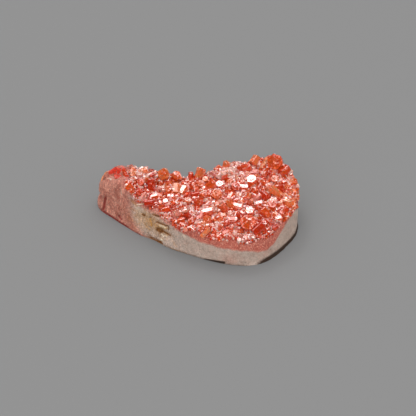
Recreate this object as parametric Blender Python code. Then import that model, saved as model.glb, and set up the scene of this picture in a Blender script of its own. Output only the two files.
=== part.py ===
"""Vanadinite druse: a small slab of pale host rock with a crust of hexagonal crystals on top.

The slab is a comma in plan, wide at +X and narrow at -X, with ground sides and a sawn base.
The crust has a plain layer that shows as a band on the sides, and crystals fused to it.
Metres, +Z up, the origin under the middle of the object on the surface that it rests on.
"""

import math
import random

import bmesh
import bpy
import numpy as np
from mathutils import Matrix, Vector
from mathutils.geometry import delaunay_2d_cdt

MM = 0.001

# The slab's widest outline in plan, in mm, anticlockwise from the +X end.
OUTLINE = [
    (18.1, 2.2),
    (17.6, 5.4),
    (16.5, 8.2),
    (14.4, 9.9),
    (11.4, 10.4),
    (8.0, 10.1),
    (5.0, 9.1),
    (2.6, 7.5),
    (0.2, 6.6),
    (-3.0, 6.4),
    (-6.4, 7.0),
    (-10.2, 8.0),
    (-14.0, 8.8),
    (-17.4, 8.7),
    (-18.9, 7.0),
    (-18.4, 4.6),
    (-16.1, 2.3),
    (-13.4, -0.2),
    (-10.8, -2.4),
    (-8.1, -4.2),
    (-5.2, -6.1),
    (-2.0, -7.7),
    (1.6, -9.3),
    (5.2, -10.4),
    (8.6, -10.6),
    (11.4, -9.6),
    (13.8, -7.6),
    (15.8, -5.2),
    (17.4, -2.8),
    (18.1, -0.3),
]

# Heights at places in plan, in mm: x, y, top of the rock, top of the crust, and how far the side
# leans in from the base to the top. Everything between is blended from these.
SPOTS = [
    # round the rim, from the narrow end along the back
    (-18.4, 6.6, 5.2, 6.1, 0.7),
    (-17.0, 8.0, 5.9, 7.0, 0.4),
    (-14.4, 8.4, 6.8, 8.3, 0.3),
    (-12.4, 8.1, 6.0, 7.3, 0.3),
    (-10.0, 7.8, 5.8, 7.5, 0.3),
    (-6.0, 6.8, 5.3, 7.0, 0.3),
    (-2.0, 6.3, 4.9, 6.2, 0.2),
    (0.6, 6.7, 5.2, 7.2, 0.2),
    (4.9, 9.0, 5.5, 7.5, 0.3),
    (8.4, 10.0, 5.3, 7.1, 0.3),
    (13.6, 10.0, 5.5, 7.7, 0.3),
    (16.2, 8.2, 5.4, 7.5, 0.3),
    # the wide end and the front
    (17.7, 4.2, 5.4, 6.6, 0.1),
    (17.9, 0.6, 5.3, 6.5, 0.1),
    (16.2, -4.4, 4.9, 6.1, 0.3),
    (14.6, -6.6, 3.9, 5.6, 0.3),
    (13.0, -8.2, 2.2, 5.4, 0.4),
    (11.2, -9.6, 2.1, 5.4, 0.4),
    (8.6, -10.5, 3.6, 5.4, 0.3),
    (4.6, -10.2, 3.5, 5.5, 0.3),
    (0.0, -8.7, 3.8, 5.6, 0.3),
    (-3.3, -7.1, 4.7, 5.8, 0.3),
    (-5.6, -5.7, 5.3, 6.1, 0.7),
    (-8.6, -3.4, 5.5, 6.3, 1.4),
    (-11.2, -1.7, 5.5, 6.3, 1.7),
    (-13.4, 0.3, 6.1, 7.2, 2.2),
    (-15.9, 2.7, 6.6, 7.8, 2.4),
    (-17.6, 4.6, 6.0, 7.0, 1.5),
    # inside
    (-14.8, 6.0, 6.9, 8.3, 1.0),
    (-12.0, 4.4, 6.1, 7.4, 1.0),
    (-7.0, 2.0, 5.4, 6.5, 0.8),
    (-1.0, -1.0, 4.8, 6.2, 0.3),
    (4.0, 2.0, 4.8, 6.5, 0.3),
    (9.0, -4.0, 4.0, 6.0, 0.3),
    (13.5, 2.0, 4.8, 6.4, 0.3),
    (10.0, 6.0, 5.0, 6.7, 0.3),
]
SPOT_REACH = 1.0  # mm, how far a spot holds its own value

OUTLINE_STEPS = 88
WALL_LEVELS = (0.0, 0.05, 0.17, 0.32, 0.47, 0.62, 0.8, 1.0)
BAND_LEVELS = (0.0, 0.5, 1.0)
TOP_SPACING = 1.75  # mm, between the points that give the crust's top its shape
HIDDEN_SPACING = 2.6  # mm, the same where the rock and the crust meet
BASE_SPACING = 5.0  # mm, the same in the flat base
SEAM = 0.3  # mm, kept open between the rock and the crust

BASE_EDGE = 0.2  # mm, how far the broken edge of the base is set in
BASE_EDGE_RIGHT = 0.5  # mm, the same under the wide end, where the stone tucks under
RIPPLE = 0.22  # mm, rise and fall of the crust between clusters

# How the stone is seen in the picture that its main crystals are placed by, where it is a frame of
# 416 pixels a side. The eye looks along +Y and down.
FRAME_SIDE = 416
EYE_FOCUS = 100 / 36 * FRAME_SIDE  # pixels, a 100 mm lens on a frame 36 mm wide
EYE_HEIGHT = math.radians(40)
EYE_DISTANCE = 208.0  # mm
EYE_AIM = Vector((1.8, -0.7, 5.0))  # mm, the point at the centre of the frame

STANDS, LIES = "stands on its end", "lies on its side"
ACROSS_TO_CORNER = 1 / math.sqrt(3)  # corner radius of a hexagon that is 1 across its flats
SUNK = 0.42  # share of a crystal's length that stays in the crust
MOST_LIFT = 0.2  # of a crystal's length, for one at the back rim that rises over it
RIM_HOLD = 0.3  # of a width, how far in from the rim a main crystal's centre stays

# The crystals that stand out: column and row in the frame, width across flats in mm, length in mm,
# how it lies, how many degrees its shown face leans, towards which bearing, and its own turn.
# Bearings run anticlockwise from +X, so -90 faces the eye. A face that catches the light leans
# about 15 degrees towards -125.
MAIN_CRYSTALS = [
    # the wide end, from the back to the front
    (255, 160, 1.5, 1.8, LIES, 40, -60, 70),
    (246, 167, 1.7, 1.9, LIES, 30, -120, 20),
    (265, 163, 1.1, 2.3, LIES, 35, -100, 65),
    (276, 165, 2.7, 3.0, STANDS, 38, -110, 10),
    (284, 170, 1.7, 2.0, LIES, 48, -50, 50),
    (271, 159, 1.5, 1.8, STANDS, 30, 100, 0),
    (254, 172, 1.4, 1.5, LIES, 22, -95, 0),
    (252, 181, 1.7, 2.0, STANDS, 15, -125, 12),
    (275, 179, 1.3, 1.5, STANDS, 25, -100, 30),
    (280, 180, 1.0, 1.1, LIES, 20, -60, 40),
    (293, 181, 1.1, 1.3, STANDS, 40, -20, 15),
    (235, 187, 1.5, 1.7, STANDS, 28, -70, 42),
    (243, 187, 1.3, 2.0, LIES, 15, -125, -10),
    (264, 184, 1.1, 1.2, STANDS, 45, -140, 0),
    (264, 195, 1.5, 2.3, LIES, 38, -160, -55),
    (277, 193, 1.4, 3.0, LIES, 32, -60, -38),
    (282, 190, 0.9, 2.2, LIES, 50, -30, -50),
    (292, 193, 1.2, 1.4, STANDS, 35, -60, 5),
    (259, 203, 1.2, 1.4, LIES, 15, -125, 10),
    (272, 205, 1.4, 1.7, STANDS, 24, -75, 10),
    (290, 203, 1.3, 1.6, LIES, 42, -40, 20),
    (265, 212, 1.5, 1.9, LIES, 46, -65, -48),
    (284, 212, 1.1, 1.6, LIES, 52, -60, 75),
    (238, 206, 1.3, 1.8, LIES, 15, -125, -22),
    (250, 212, 1.4, 1.9, STANDS, 16, -120, 35),
    (279, 218, 1.0, 1.1, LIES, 15, -125, 8),
    (248, 224, 2.6, 2.9, STANDS, 30, -95, 25),
    (233, 219, 1.3, 1.6, LIES, 18, -110, 0),
    (258, 228, 1.8, 2.2, LIES, 48, -80, 55),
    (263, 229, 1.1, 1.3, STANDS, 15, -120, 0),
    (266, 222, 1.2, 1.4, STANDS, 25, -130, 20),
    # the middle
    (226, 165, 1.3, 1.5, STANDS, 25, 30, 0),
    (218, 168, 1.1, 1.3, LIES, 25, -150, 30),
    (225, 178, 1.1, 1.3, STANDS, 42, -100, 0),
    (220, 185, 1.3, 1.6, STANDS, 15, -125, 0),
    (211, 187, 1.8, 2.1, LIES, 42, -120, 35),
    (217, 196, 1.7, 2.0, STANDS, 30, -85, 20),
    (205, 179, 1.0, 1.2, STANDS, 18, -80, 0),
    (200, 171, 1.5, 2.2, LIES, 50, -90, 80),
    (191, 173, 0.9, 1.8, STANDS, 10, 90, 10),
    (200, 184, 1.3, 1.5, STANDS, 28, -60, 15),
    (204, 189, 1.1, 1.2, LIES, 20, -140, 45),
    (195, 194, 1.3, 1.6, LIES, 48, -70, 20),
    (187, 197, 1.1, 2.0, LIES, 45, -130, 55),
    (198, 203, 1.5, 1.8, STANDS, 40, -75, 0),
    (208, 211, 1.4, 1.7, LIES, 15, -125, 8),
    (207, 219, 1.4, 1.6, STANDS, 42, -90, 5),
    (201, 215, 0.9, 1.4, LIES, 24, -100, 70),
    (191, 221, 1.0, 1.2, STANDS, 22, -110, 15),
    (181, 220, 1.1, 1.3, LIES, 45, -90, 15),
    (205, 232, 0.8, 2.0, LIES, 30, -100, 48),
    (220, 219, 1.0, 1.1, STANDS, 32, -70, 0),
    (226, 232, 1.1, 1.3, LIES, 20, -100, 25),
    (224, 208, 1.4, 1.6, STANDS, 26, 150, 10),
    (231, 196, 1.2, 1.5, LIES, 22, -160, 60),
    # the narrow end
    (183, 190, 1.3, 1.8, LIES, 15, -125, 60),
    (176, 188, 1.4, 1.8, LIES, 24, -110, 85),
    (171, 196, 1.1, 1.2, LIES, 15, -125, -8),
    (169, 189, 1.1, 1.4, STANDS, 30, -120, 20),
    (176, 173, 1.5, 2.2, STANDS, 34, -70, 30),
    (164, 174, 1.9, 2.2, STANDS, 42, -95, 0),
    (160, 195, 0.9, 1.1, STANDS, 30, -90, 30),
    (154, 196, 1.1, 1.3, LIES, 15, -125, 18),
    (151, 188, 1.4, 2.3, LIES, 48, -100, 85),
    (166, 202, 0.9, 1.1, STANDS, 15, -125, 0),
    (152, 176, 1.1, 1.3, STANDS, 35, -60, 0),
    (143, 171, 1.4, 1.7, LIES, 25, -130, 25),
    (141, 182, 1.2, 1.5, STANDS, 28, -100, 10),
    (134, 174, 1.1, 1.3, STANDS, 25, -140, 0),
    (149, 203, 1.3, 1.6, LIES, 50, -85, 10),
    (166, 209, 1.2, 1.4, LIES, 42, -90, 20),
    (129, 186, 1.0, 1.3, LIES, 35, -120, 50),
    (140, 192, 1.2, 1.4, STANDS, 38, -95, 15),
    (132, 170, 1.0, 1.3, LIES, 30, -100, 60),
    (125, 172, 0.8, 1.9, LIES, 40, -70, -68),
    (127, 179, 0.7, 1.7, LIES, 45, -60, -75),
    (112, 169, 1.4, 1.6, LIES, 25, -130, 35),
    (118, 170, 1.3, 1.4, STANDS, 18, -110, 20),
    (116, 165, 1.2, 1.4, LIES, 30, -60, 15),
]

FILL_SEED = 14
FILL_COUNT = 100  # crystals that fill in between the main ones
FILL_ACROSS = (0.8, 1.45)  # mm
FILL_LONG = (1.0, 1.5)  # times the width
FILL_LEAN = (5, 55)  # degrees
FILL_CROWDING = 0.5  # two centres stay this share of their widths together apart
FILL_RIM = 0.62  # and this share of a width in from the rim
FILL_TRIES = 6000
WORN_END = -13.0  # mm, the narrow end beyond this x is ground smooth, with few crystals left

ROCK_COLOUR = (0.43, 0.34, 0.27, 1.0)
CRYSTAL_COLOUR = (0.62, 0.06, 0.015, 1.0)


def blended(x, y, column):
    """One of the values in SPOTS, blended over the plan. x and y are in mm."""
    total = 0.0
    weights = 0.0
    for spot in SPOTS:
        apart = (x - spot[0]) ** 2 + (y - spot[1]) ** 2
        weight = 1.0 / (apart + SPOT_REACH**2) ** 1.6
        total += weight * spot[column]
        weights += weight
    return total / weights


def rock_top(x, y):
    return blended(x, y, 2)


def crust_top(x, y):
    ripple = math.sin(1.25 * x + 0.6 * y) + math.sin(1.5 * y - 0.7 * x + 1.0)
    return blended(x, y, 3) + RIPPLE * ripple


def bump(distance, reach):
    """1 at no distance, falling smoothly to almost nothing at twice the reach."""
    return math.exp(-((distance / reach) ** 2))


def broken_away(x, y, z):
    """How deep the ground side is chipped at a place, in mm."""
    notch = 0.7 * bump(math.hypot(x + 18.4, y - 6.0), 1.5) * bump(z - 2.4, 0.7)
    if y > 0:
        return notch
    spall = 0.3 * bump(x + 8.6, 1.4) * bump(z - 1.6, 1.0)
    ledge = 0.5 * bump(x + 5.4, 1.3) * bump(z - 2.6, 0.6)
    pit = 0.4 * bump(x + 10.4, 0.9) * bump(z - 3.6, 0.7)
    return notch + spall + ledge + pit


def outline_points():
    """Evenly spaced points round a smooth closed curve through OUTLINE, with their inward normals."""
    given = np.array(OUTLINE)
    before = np.roll(given, 1, axis=0)
    after = np.roll(given, -1, axis=0)
    beyond = np.roll(given, -2, axis=0)
    fine = []
    for a, b, c, d in zip(before, given, after, beyond):
        for t in np.linspace(0, 1, 24, endpoint=False):
            fine.append(
                0.5 * (2 * b + (c - a) * t + (2 * a - 5 * b + 4 * c - d) * t**2)
                + 0.5 * (3 * b - a - 3 * c + d) * t**3
            )
    fine = np.array(fine + [fine[0]])
    run = np.concatenate([[0], np.cumsum(np.linalg.norm(np.diff(fine, axis=0), axis=1))])
    wanted = np.linspace(0, run[-1], OUTLINE_STEPS, endpoint=False)
    points = np.stack([np.interp(wanted, run, fine[:, k]) for k in (0, 1)], axis=1)
    along = np.roll(points, -1, axis=0) - np.roll(points, 1, axis=0)
    inward = np.stack([-along[:, 1], along[:, 0]], axis=1)
    inward /= np.linalg.norm(inward, axis=1)[:, None]
    return points, inward


def wall_ring(points, inward, height_of):
    """The side's points at a height, which is given for each place in plan."""
    ring = []
    for (x, y), (in_x, in_y) in zip(points, inward):
        z = height_of(x, y)
        top = crust_top(x, y)
        tuck = BASE_EDGE
        if y < 4.0:
            tuck += (BASE_EDGE_RIGHT - BASE_EDGE) * bump(x - 15.5, 3.5)
        depth = blended(x, y, 4) * z / top + broken_away(x, y, z)
        depth += tuck * max(0.0, 1 - z / 0.8) ** 2
        ring.append((x + in_x * depth, y + in_y * depth, z))
    return ring


def inner_points(rng, ring, spacing):
    """Points of a jittered triangular grid well inside a ring of points."""
    edge = np.array([p[:2] for p in ring])
    low, high = edge.min(axis=0), edge.max(axis=0)
    found = []
    rows = int((high[1] - low[1]) / (spacing * 0.87)) + 1
    columns = int((high[0] - low[0]) / spacing) + 2
    for row in range(rows):
        for column in range(columns):
            x = low[0] + (column + 0.5 * (row % 2)) * spacing + rng.uniform(-0.2, 0.2) * spacing
            y = low[1] + row * spacing * 0.87 + rng.uniform(-0.2, 0.2) * spacing
            if rim_distance(edge, x, y) > 0.55 * spacing:
                found.append((x, y))
    return found


def rim_distance(edge, x, y):
    """How far a place in plan is inside a closed ring of points. It is negative outside."""
    here = np.array((x, y))
    ahead = np.roll(edge, -1, axis=0)
    side = ahead - edge
    share = np.clip(((here - edge) * side).sum(axis=1) / (side**2).sum(axis=1), 0, 1)
    nearest = np.linalg.norm(edge + side * share[:, None] - here, axis=1).min()
    crosses = (edge[:, 1] > y) != (ahead[:, 1] > y)
    rise = np.where(ahead[:, 1] == edge[:, 1], 1.0, ahead[:, 1] - edge[:, 1])
    reach = edge[:, 0] + (y - edge[:, 1]) / rise * side[:, 0]
    inside = np.count_nonzero(crosses & (x < reach)) % 2 == 1
    return nearest if inside else -nearest


def capped(ring, inside, height_of):
    """Triangles that fill a ring, through the points inside it. Returns the new points and faces,
    where indices below len(ring) are the ring's own."""
    flat = [Vector(p[:2]) for p in ring] + [Vector(p) for p in inside]
    count = len(ring)
    edges = [(i, (i + 1) % count) for i in range(count)]
    made, _, faces, origins, _, _ = delaunay_2d_cdt(flat, edges, [], 1, 1e-6)
    index = {i: came[0] for i, came in enumerate(origins) if came}
    triangles = [tuple(index[i] for i in face) for face in faces]
    heights = [(x, y, height_of(x, y)) for x, y in inside]
    return heights, triangles


def layered_solid(name, rings, ends):
    """A closed solid from a stack of rings, bottom first. Each end gives the height of its face
    over the plan and the spacing of the points in it, in mm."""
    rng = random.Random(3)
    count = len(rings[0])
    vertices = [p for ring in rings for p in ring]
    faces = []
    for level in range(len(rings) - 1):
        for i in range(count):
            here, there = level * count + i, level * count + (i + 1) % count
            faces.append((here, there, there + count, here + count))
    for ring, (height_of, spacing), start, turned in (
        (rings[0], ends[0], 0, True),
        (rings[-1], ends[1], (len(rings) - 1) * count, False),
    ):
        inside = inner_points(rng, ring, spacing)
        more, triangles = capped(ring, inside, height_of)
        beyond = len(vertices) - count
        vertices += more
        for triangle in triangles:
            face = tuple(start + i if i < count else beyond + i for i in triangle)
            faces.append(face[::-1] if turned else face)
    return new_object(name, vertices, faces)


def new_object(name, vertices, faces):
    mesh = bpy.data.meshes.new(name)
    mesh.from_pydata([Vector(p) * MM for p in vertices], [], faces)
    mesh.validate()
    made = bpy.data.objects.new(name, mesh)
    bpy.context.scene.collection.objects.link(made)
    return made


def rock(points, inward):
    """The slab of host rock, with a flat base."""
    rings = [
        wall_ring(points, inward, lambda x, y, share=share: share * rock_top(x, y))
        for share in WALL_LEVELS
    ]
    flat = (lambda x, y: 0.0, BASE_SPACING)
    return layered_solid("matrix", rings, (flat, (rock_top, HIDDEN_SPACING)))


def crust_layer(points, inward):
    """The plain layer that the crystals stand on."""

    def height(x, y, share):
        low = rock_top(x, y) + SEAM
        return low + share * (crust_top(x, y) - low)

    rings = [
        wall_ring(points, inward, lambda x, y, share=share: height(x, y, share))
        for share in BAND_LEVELS
    ]
    under = (lambda x, y: height(x, y, 0.0), HIDDEN_SPACING)
    made = layered_solid("vanadinite_crust", rings, (under, (crust_top, TOP_SPACING)))
    return made, rings[-1]


def bearing(lean, towards):
    """The direction that leans so many degrees from +Z towards a bearing."""
    lean, towards = math.radians(lean), math.radians(towards)
    return Vector(
        (math.sin(lean) * math.cos(towards), math.sin(lean) * math.sin(towards), math.cos(lean))
    )


def spot_behind(column, row):
    """Where the crust lies behind a pixel of the frame: x and y in mm."""
    back = Vector((0, -math.cos(EYE_HEIGHT), math.sin(EYE_HEIGHT)))
    up = Vector((0, math.sin(EYE_HEIGHT), math.cos(EYE_HEIGHT)))
    eye = EYE_AIM + back * EYE_DISTANCE
    across = (column - FRAME_SIDE / 2) / EYE_FOCUS
    rise = (FRAME_SIDE / 2 - row) / EYE_FOCUS
    ray = -back + Vector((1, 0, 0)) * across + up * rise
    height = 7.0
    for _ in range(24):
        place = eye + ray * ((height - eye.z) / ray.z)
        height = 0.5 * (height + crust_top(place.x, place.y) + 0.4)
    return place.x, place.y


def crystal_turn(how, lean, towards, turn):
    """The rotation of a crystal whose own length is Z and one of whose side faces is at +X."""
    shown = bearing(lean, towards)
    if how == STANDS:
        length = shown
        side = bearing(90, turn)
    else:
        side = shown
        length = bearing(90, turn)
        length = length - side * length.dot(side)
    length.normalize()
    side = (side - length * side.dot(length)).normalized()
    return Matrix((side, length.cross(side), length)).transposed()


def crystal(x, y, lift, across, long, turn):
    """The corners of one hexagonal prism, in mm, the lower end first."""
    radius = across * ACROSS_TO_CORNER
    reach = abs(turn.col[2].z) * long / 2 + math.sqrt(1 - turn.col[2].z ** 2) * across / 2
    centre = Vector((x, y, crust_top(x, y) + reach * (1 - 2 * SUNK) + lift))
    lowest = min(rock_top(x, y), rock_top(x, y - across), rock_top(x + across, y)) + SEAM + 0.15
    centre.z = max(centre.z, lowest + reach + 0.1 * across)
    corners = []
    for end in (-0.5, 0.5):
        for k in range(6):
            angle = math.radians(60 * k + 30)
            own = Vector((radius * math.cos(angle), radius * math.sin(angle), end * long))
            corners.append(centre + turn @ own)
    return corners


def placed_crystals(rim):
    """All crystals as (x, y, lift, width, length, rotation), the main ones first."""
    placed = []
    edge = np.array([p[:2] for p in rim])
    for column, row, across, long, how, lean, towards, turn in MAIN_CRYSTALS:
        x, y = spot_behind(column, row)
        lift = 0.0
        while y > 0 and rim_distance(edge, x, y) < RIM_HOLD * across:
            y -= 0.05
            lift += 0.05 * math.tan(EYE_HEIGHT)
        lift = min(lift, MOST_LIFT * long)
        placed.append((x, y, lift, across, long, crystal_turn(how, lean, towards, turn)))
    rng = random.Random(FILL_SEED)
    low, high = edge.min(axis=0), edge.max(axis=0)
    wanted = len(placed) + FILL_COUNT
    for _ in range(FILL_TRIES):
        if len(placed) == wanted:
            break
        x, y = rng.uniform(low[0], high[0]), rng.uniform(low[1], high[1])
        across = rng.uniform(*FILL_ACROSS)
        long = across * rng.uniform(*FILL_LONG)
        how = rng.choice((STANDS, LIES, LIES))
        turn = crystal_turn(how, rng.uniform(*FILL_LEAN), rng.uniform(0, 360), rng.uniform(0, 360))
        if x < WORN_END or rim_distance(edge, x, y) < FILL_RIM * across:
            continue
        if all(
            math.hypot(x - other[0], y - other[1]) > FILL_CROWDING * (across + other[3])
            for other in placed
        ):
            placed.append((x, y, 0.0, across, long, turn))
    return placed


def crystal_cluster(rim):
    """Every crystal as one mesh of overlapping prisms."""
    vertices, faces = [], []
    for place in placed_crystals(rim):
        first = len(vertices)
        vertices += crystal(*place)
        faces.append(tuple(first + k for k in (5, 4, 3, 2, 1, 0)))
        faces.append(tuple(first + 6 + k for k in range(6)))
        for k in range(6):
            after = (k + 1) % 6
            faces.append((first + k, first + after, first + 6 + after, first + 6 + k))
    return new_object("crystals_to_fuse", vertices, faces)


def fuse(body, added):
    """Joins a mesh of overlapping prisms to the body as one solid."""
    joint = body.modifiers.new("fused crystals", "BOOLEAN")
    joint.operation = "UNION"
    joint.solver = "EXACT"
    joint.use_self = True
    joint.object = added
    bpy.context.view_layer.update()
    graph = bpy.context.evaluated_depsgraph_get()
    fused = bpy.data.meshes.new_from_object(body.evaluated_get(graph))
    body.modifiers.clear()
    body.data = fused
    bpy.data.objects.remove(added)
    fill_pockets(fused)


def fill_pockets(mesh):
    """Removes the closed surfaces that face inwards, which are pockets sealed between crystals."""
    work = bmesh.new()
    work.from_mesh(mesh)
    left = set(work.faces)
    while left:
        shell = [left.pop()]
        for face in shell:
            for edge in face.edges:
                for beside in edge.link_faces:
                    if beside in left:
                        left.remove(beside)
                        shell.append(beside)
        inside = 0.0
        for face in shell:
            inside += face.calc_center_median().dot(face.normal) * face.calc_area()
        if inside < 0:
            bmesh.ops.delete(work, geom=shell, context="FACES")
    work.to_mesh(mesh)
    work.free()


def finish(name, colour, roughness):
    material = bpy.data.materials.new(name)
    material.use_nodes = True
    shader = material.node_tree.nodes["Principled BSDF"]
    shader.inputs["Base Color"].default_value = colour
    shader.inputs["Roughness"].default_value = roughness
    shader.inputs["Metallic"].default_value = 0.0
    return material


def main():
    for leftover in list(bpy.data.objects):
        bpy.data.objects.remove(leftover)
    points, inward = outline_points()
    slab = rock(points, inward)
    slab.data.materials.append(finish("pale_host_rock", ROCK_COLOUR, 0.6))
    crust, rim = crust_layer(points, inward)
    crust.data.materials.append(finish("vanadinite", CRYSTAL_COLOUR, 0.12))
    fuse(crust, crystal_cluster(rim))


main()
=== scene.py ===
"""Looks of the vanadinite druse: a slab of ground host rock under a crust of glassy red crystals.

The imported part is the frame. Each piece is built by one operator at the real size, in metres,
and stands for the plain solid of the same place.
"""

import math
import random

import bpy
import numpy as np
from bpy.props import FloatProperty, FloatVectorProperty, IntProperty, PointerProperty
from mathutils import Color, Matrix, Vector, noise
from mathutils.geometry import delaunay_2d_cdt


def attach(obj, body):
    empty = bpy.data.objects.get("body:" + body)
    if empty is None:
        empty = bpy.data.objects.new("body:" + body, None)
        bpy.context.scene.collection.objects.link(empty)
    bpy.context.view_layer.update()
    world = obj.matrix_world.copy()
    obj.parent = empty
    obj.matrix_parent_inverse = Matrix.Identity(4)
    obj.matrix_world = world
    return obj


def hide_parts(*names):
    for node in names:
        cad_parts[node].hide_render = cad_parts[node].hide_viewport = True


bl_info = {
    "name": "Vanadinite druse",
    "version": (1, 0, 0),
    "blender": (4, 5, 0),
    "location": "View3D > Sidebar > Druse",
    "description": "Builds a slab of host rock with a crust of vanadinite crystals",
    "category": "Object",
}

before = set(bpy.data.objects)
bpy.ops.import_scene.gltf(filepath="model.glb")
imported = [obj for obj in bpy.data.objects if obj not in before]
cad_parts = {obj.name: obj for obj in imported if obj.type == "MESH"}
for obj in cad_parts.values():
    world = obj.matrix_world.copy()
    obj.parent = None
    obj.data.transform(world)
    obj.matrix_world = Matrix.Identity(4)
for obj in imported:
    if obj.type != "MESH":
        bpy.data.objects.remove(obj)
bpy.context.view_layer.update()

MM = 0.001

# The slab's widest outline in plan, in mm, anticlockwise from the +X end.
OUTLINE = [
    (18.1, 2.2), (17.6, 5.4), (16.5, 8.2), (14.4, 9.9), (11.4, 10.4), (8.0, 10.1),
    (5.0, 9.1), (2.6, 7.5), (0.2, 6.6), (-3.0, 6.4), (-6.4, 7.0), (-10.2, 8.0),
    (-14.0, 8.8), (-17.4, 8.7), (-18.9, 7.0), (-18.4, 4.6), (-16.1, 2.3), (-13.4, -0.2),
    (-10.8, -2.4), (-8.1, -4.2), (-5.2, -6.1), (-2.0, -7.7), (1.6, -9.3), (5.2, -10.4),
    (8.6, -10.6), (11.4, -9.6), (13.8, -7.6), (15.8, -5.2), (17.4, -2.8), (18.1, -0.3),
]

# Heights at places in plan, in mm: x, y, top of the rock, top of the crust, and how far the side
# leans in from the base to the top. Everything between is blended from these.
SPOTS = np.array([
    (-18.4, 6.6, 5.2, 6.1, 0.7),
    (-17.0, 8.0, 5.9, 7.0, 0.4),
    (-14.4, 8.4, 6.8, 8.3, 0.3),
    (-12.4, 8.1, 6.0, 7.3, 0.3),
    (-10.0, 7.8, 5.8, 7.5, 0.3),
    (-6.0, 6.8, 5.3, 7.0, 0.3),
    (-2.0, 6.3, 4.9, 6.2, 0.2),
    (0.6, 6.7, 5.2, 7.2, 0.2),
    (4.9, 9.0, 5.5, 7.5, 0.3),
    (8.4, 10.0, 5.3, 7.1, 0.3),
    (13.6, 10.0, 5.5, 7.7, 0.3),
    (16.2, 8.2, 5.4, 7.5, 0.3),
    (17.7, 4.2, 5.4, 6.6, 0.1),
    (17.9, 0.6, 5.3, 6.5, 0.1),
    (16.2, -4.4, 4.9, 6.1, 0.3),
    (14.6, -6.6, 3.9, 5.6, 0.3),
    (13.0, -8.2, 2.2, 5.4, 0.4),
    (11.2, -9.6, 2.1, 5.4, 0.4),
    (8.6, -10.5, 3.6, 5.4, 0.3),
    (4.6, -10.2, 3.5, 5.5, 0.3),
    (0.0, -8.7, 3.8, 5.6, 0.3),
    (-3.3, -7.1, 4.7, 5.8, 0.3),
    (-5.6, -5.7, 5.3, 6.1, 0.7),
    (-8.6, -3.4, 5.5, 6.3, 1.4),
    (-11.2, -1.7, 5.5, 6.3, 1.7),
    (-13.4, 0.3, 6.1, 7.2, 2.2),
    (-15.9, 2.7, 6.6, 7.8, 2.4),
    (-17.6, 4.6, 6.0, 7.0, 1.5),
    (-14.8, 6.0, 6.9, 8.3, 1.0),
    (-12.0, 4.4, 6.1, 7.4, 1.0),
    (-7.0, 2.0, 5.4, 6.5, 0.8),
    (-1.0, -1.0, 4.8, 6.2, 0.3),
    (4.0, 2.0, 4.8, 6.5, 0.3),
    (9.0, -4.0, 4.0, 6.0, 0.3),
    (13.5, 2.0, 4.8, 6.4, 0.3),
    (10.0, 6.0, 5.0, 6.7, 0.3),
])
SPOT_REACH = 1.0  # mm, how far a spot holds its own value

RIM_STEPS = 88  # of the rim that the crystals keep inside
FINE_STEPS = 760  # of the rim that is shown
GROWN_STEPS = 380  # of the rim of the surface that small crystals grow on
SEAM = 0.3  # mm, where the rock ends and the crust begins
BASE_EDGE = 0.2  # mm, how far the side is tucked in at the base
BASE_EDGE_RIGHT = 0.5  # mm, the same under the right of the slab
BASE_EDGE_HIGH = 0.8  # mm, up to where it is
RIPPLE = 0.22  # mm, height of the slow waves of the crust's top

# The camera looks along +Y and down. Columns and rows in the frame are in pixels.
FRAME_SIDE = 416
EYE_LENS, EYE_SENSOR = 100, 36  # mm
EYE_FOCUS = EYE_LENS / EYE_SENSOR * FRAME_SIDE
EYE_HEIGHT = math.radians(40)
EYE_DISTANCE = 208.0  # mm
EYE_AIM = Vector((1.8, -0.7, 5.0))
EYE_BACK = (0, -math.cos(EYE_HEIGHT), math.sin(EYE_HEIGHT))
EYE_UP = (0, math.sin(EYE_HEIGHT), math.cos(EYE_HEIGHT))

BLOCK_TILT = 18.0  # degrees, how far a block of a crystal is turned from the rest
MAIN_TILT = 9.0  # degrees, the same on one that stands out
CLEAN_TILT = 3.0  # degrees, the same on a crystal with a clean bright face
CLEAN_TURN = 4.0  # degrees, how far such a face may be from throwing the key light at the camera
BODY_SHARE = 0.84  # how much of a crystal with many blocks is its own body
WORN_DOWN = 1.5  # mm, how much lower the last crystals at the narrow end are than they grew
WORN_IN = 1.0  # mm, how far the hindmost of them is set in from the ground back

STANDS, LIES = "stands on its end", "lies on its side"
ACROSS_TO_CORNER = 1 / math.sqrt(3)
SUNK = 0.42  # how much of a crystal's height is in the crust
MOST_LIFT = 0.2  # of its length, how far a crystal that is moved in from the rim is raised
RIM_HOLD = 0.3  # of its width, how far inside the rim its middle is kept
RIM_STEP = 0.05  # mm, the steps that it is moved in by

# How much light a crystal lets through, from dark wine red to pale orange.
WINE, RED, FLAME, ORANGE, PEACH = 0.05, 0.3, 0.5, 0.75, 1.0

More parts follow.
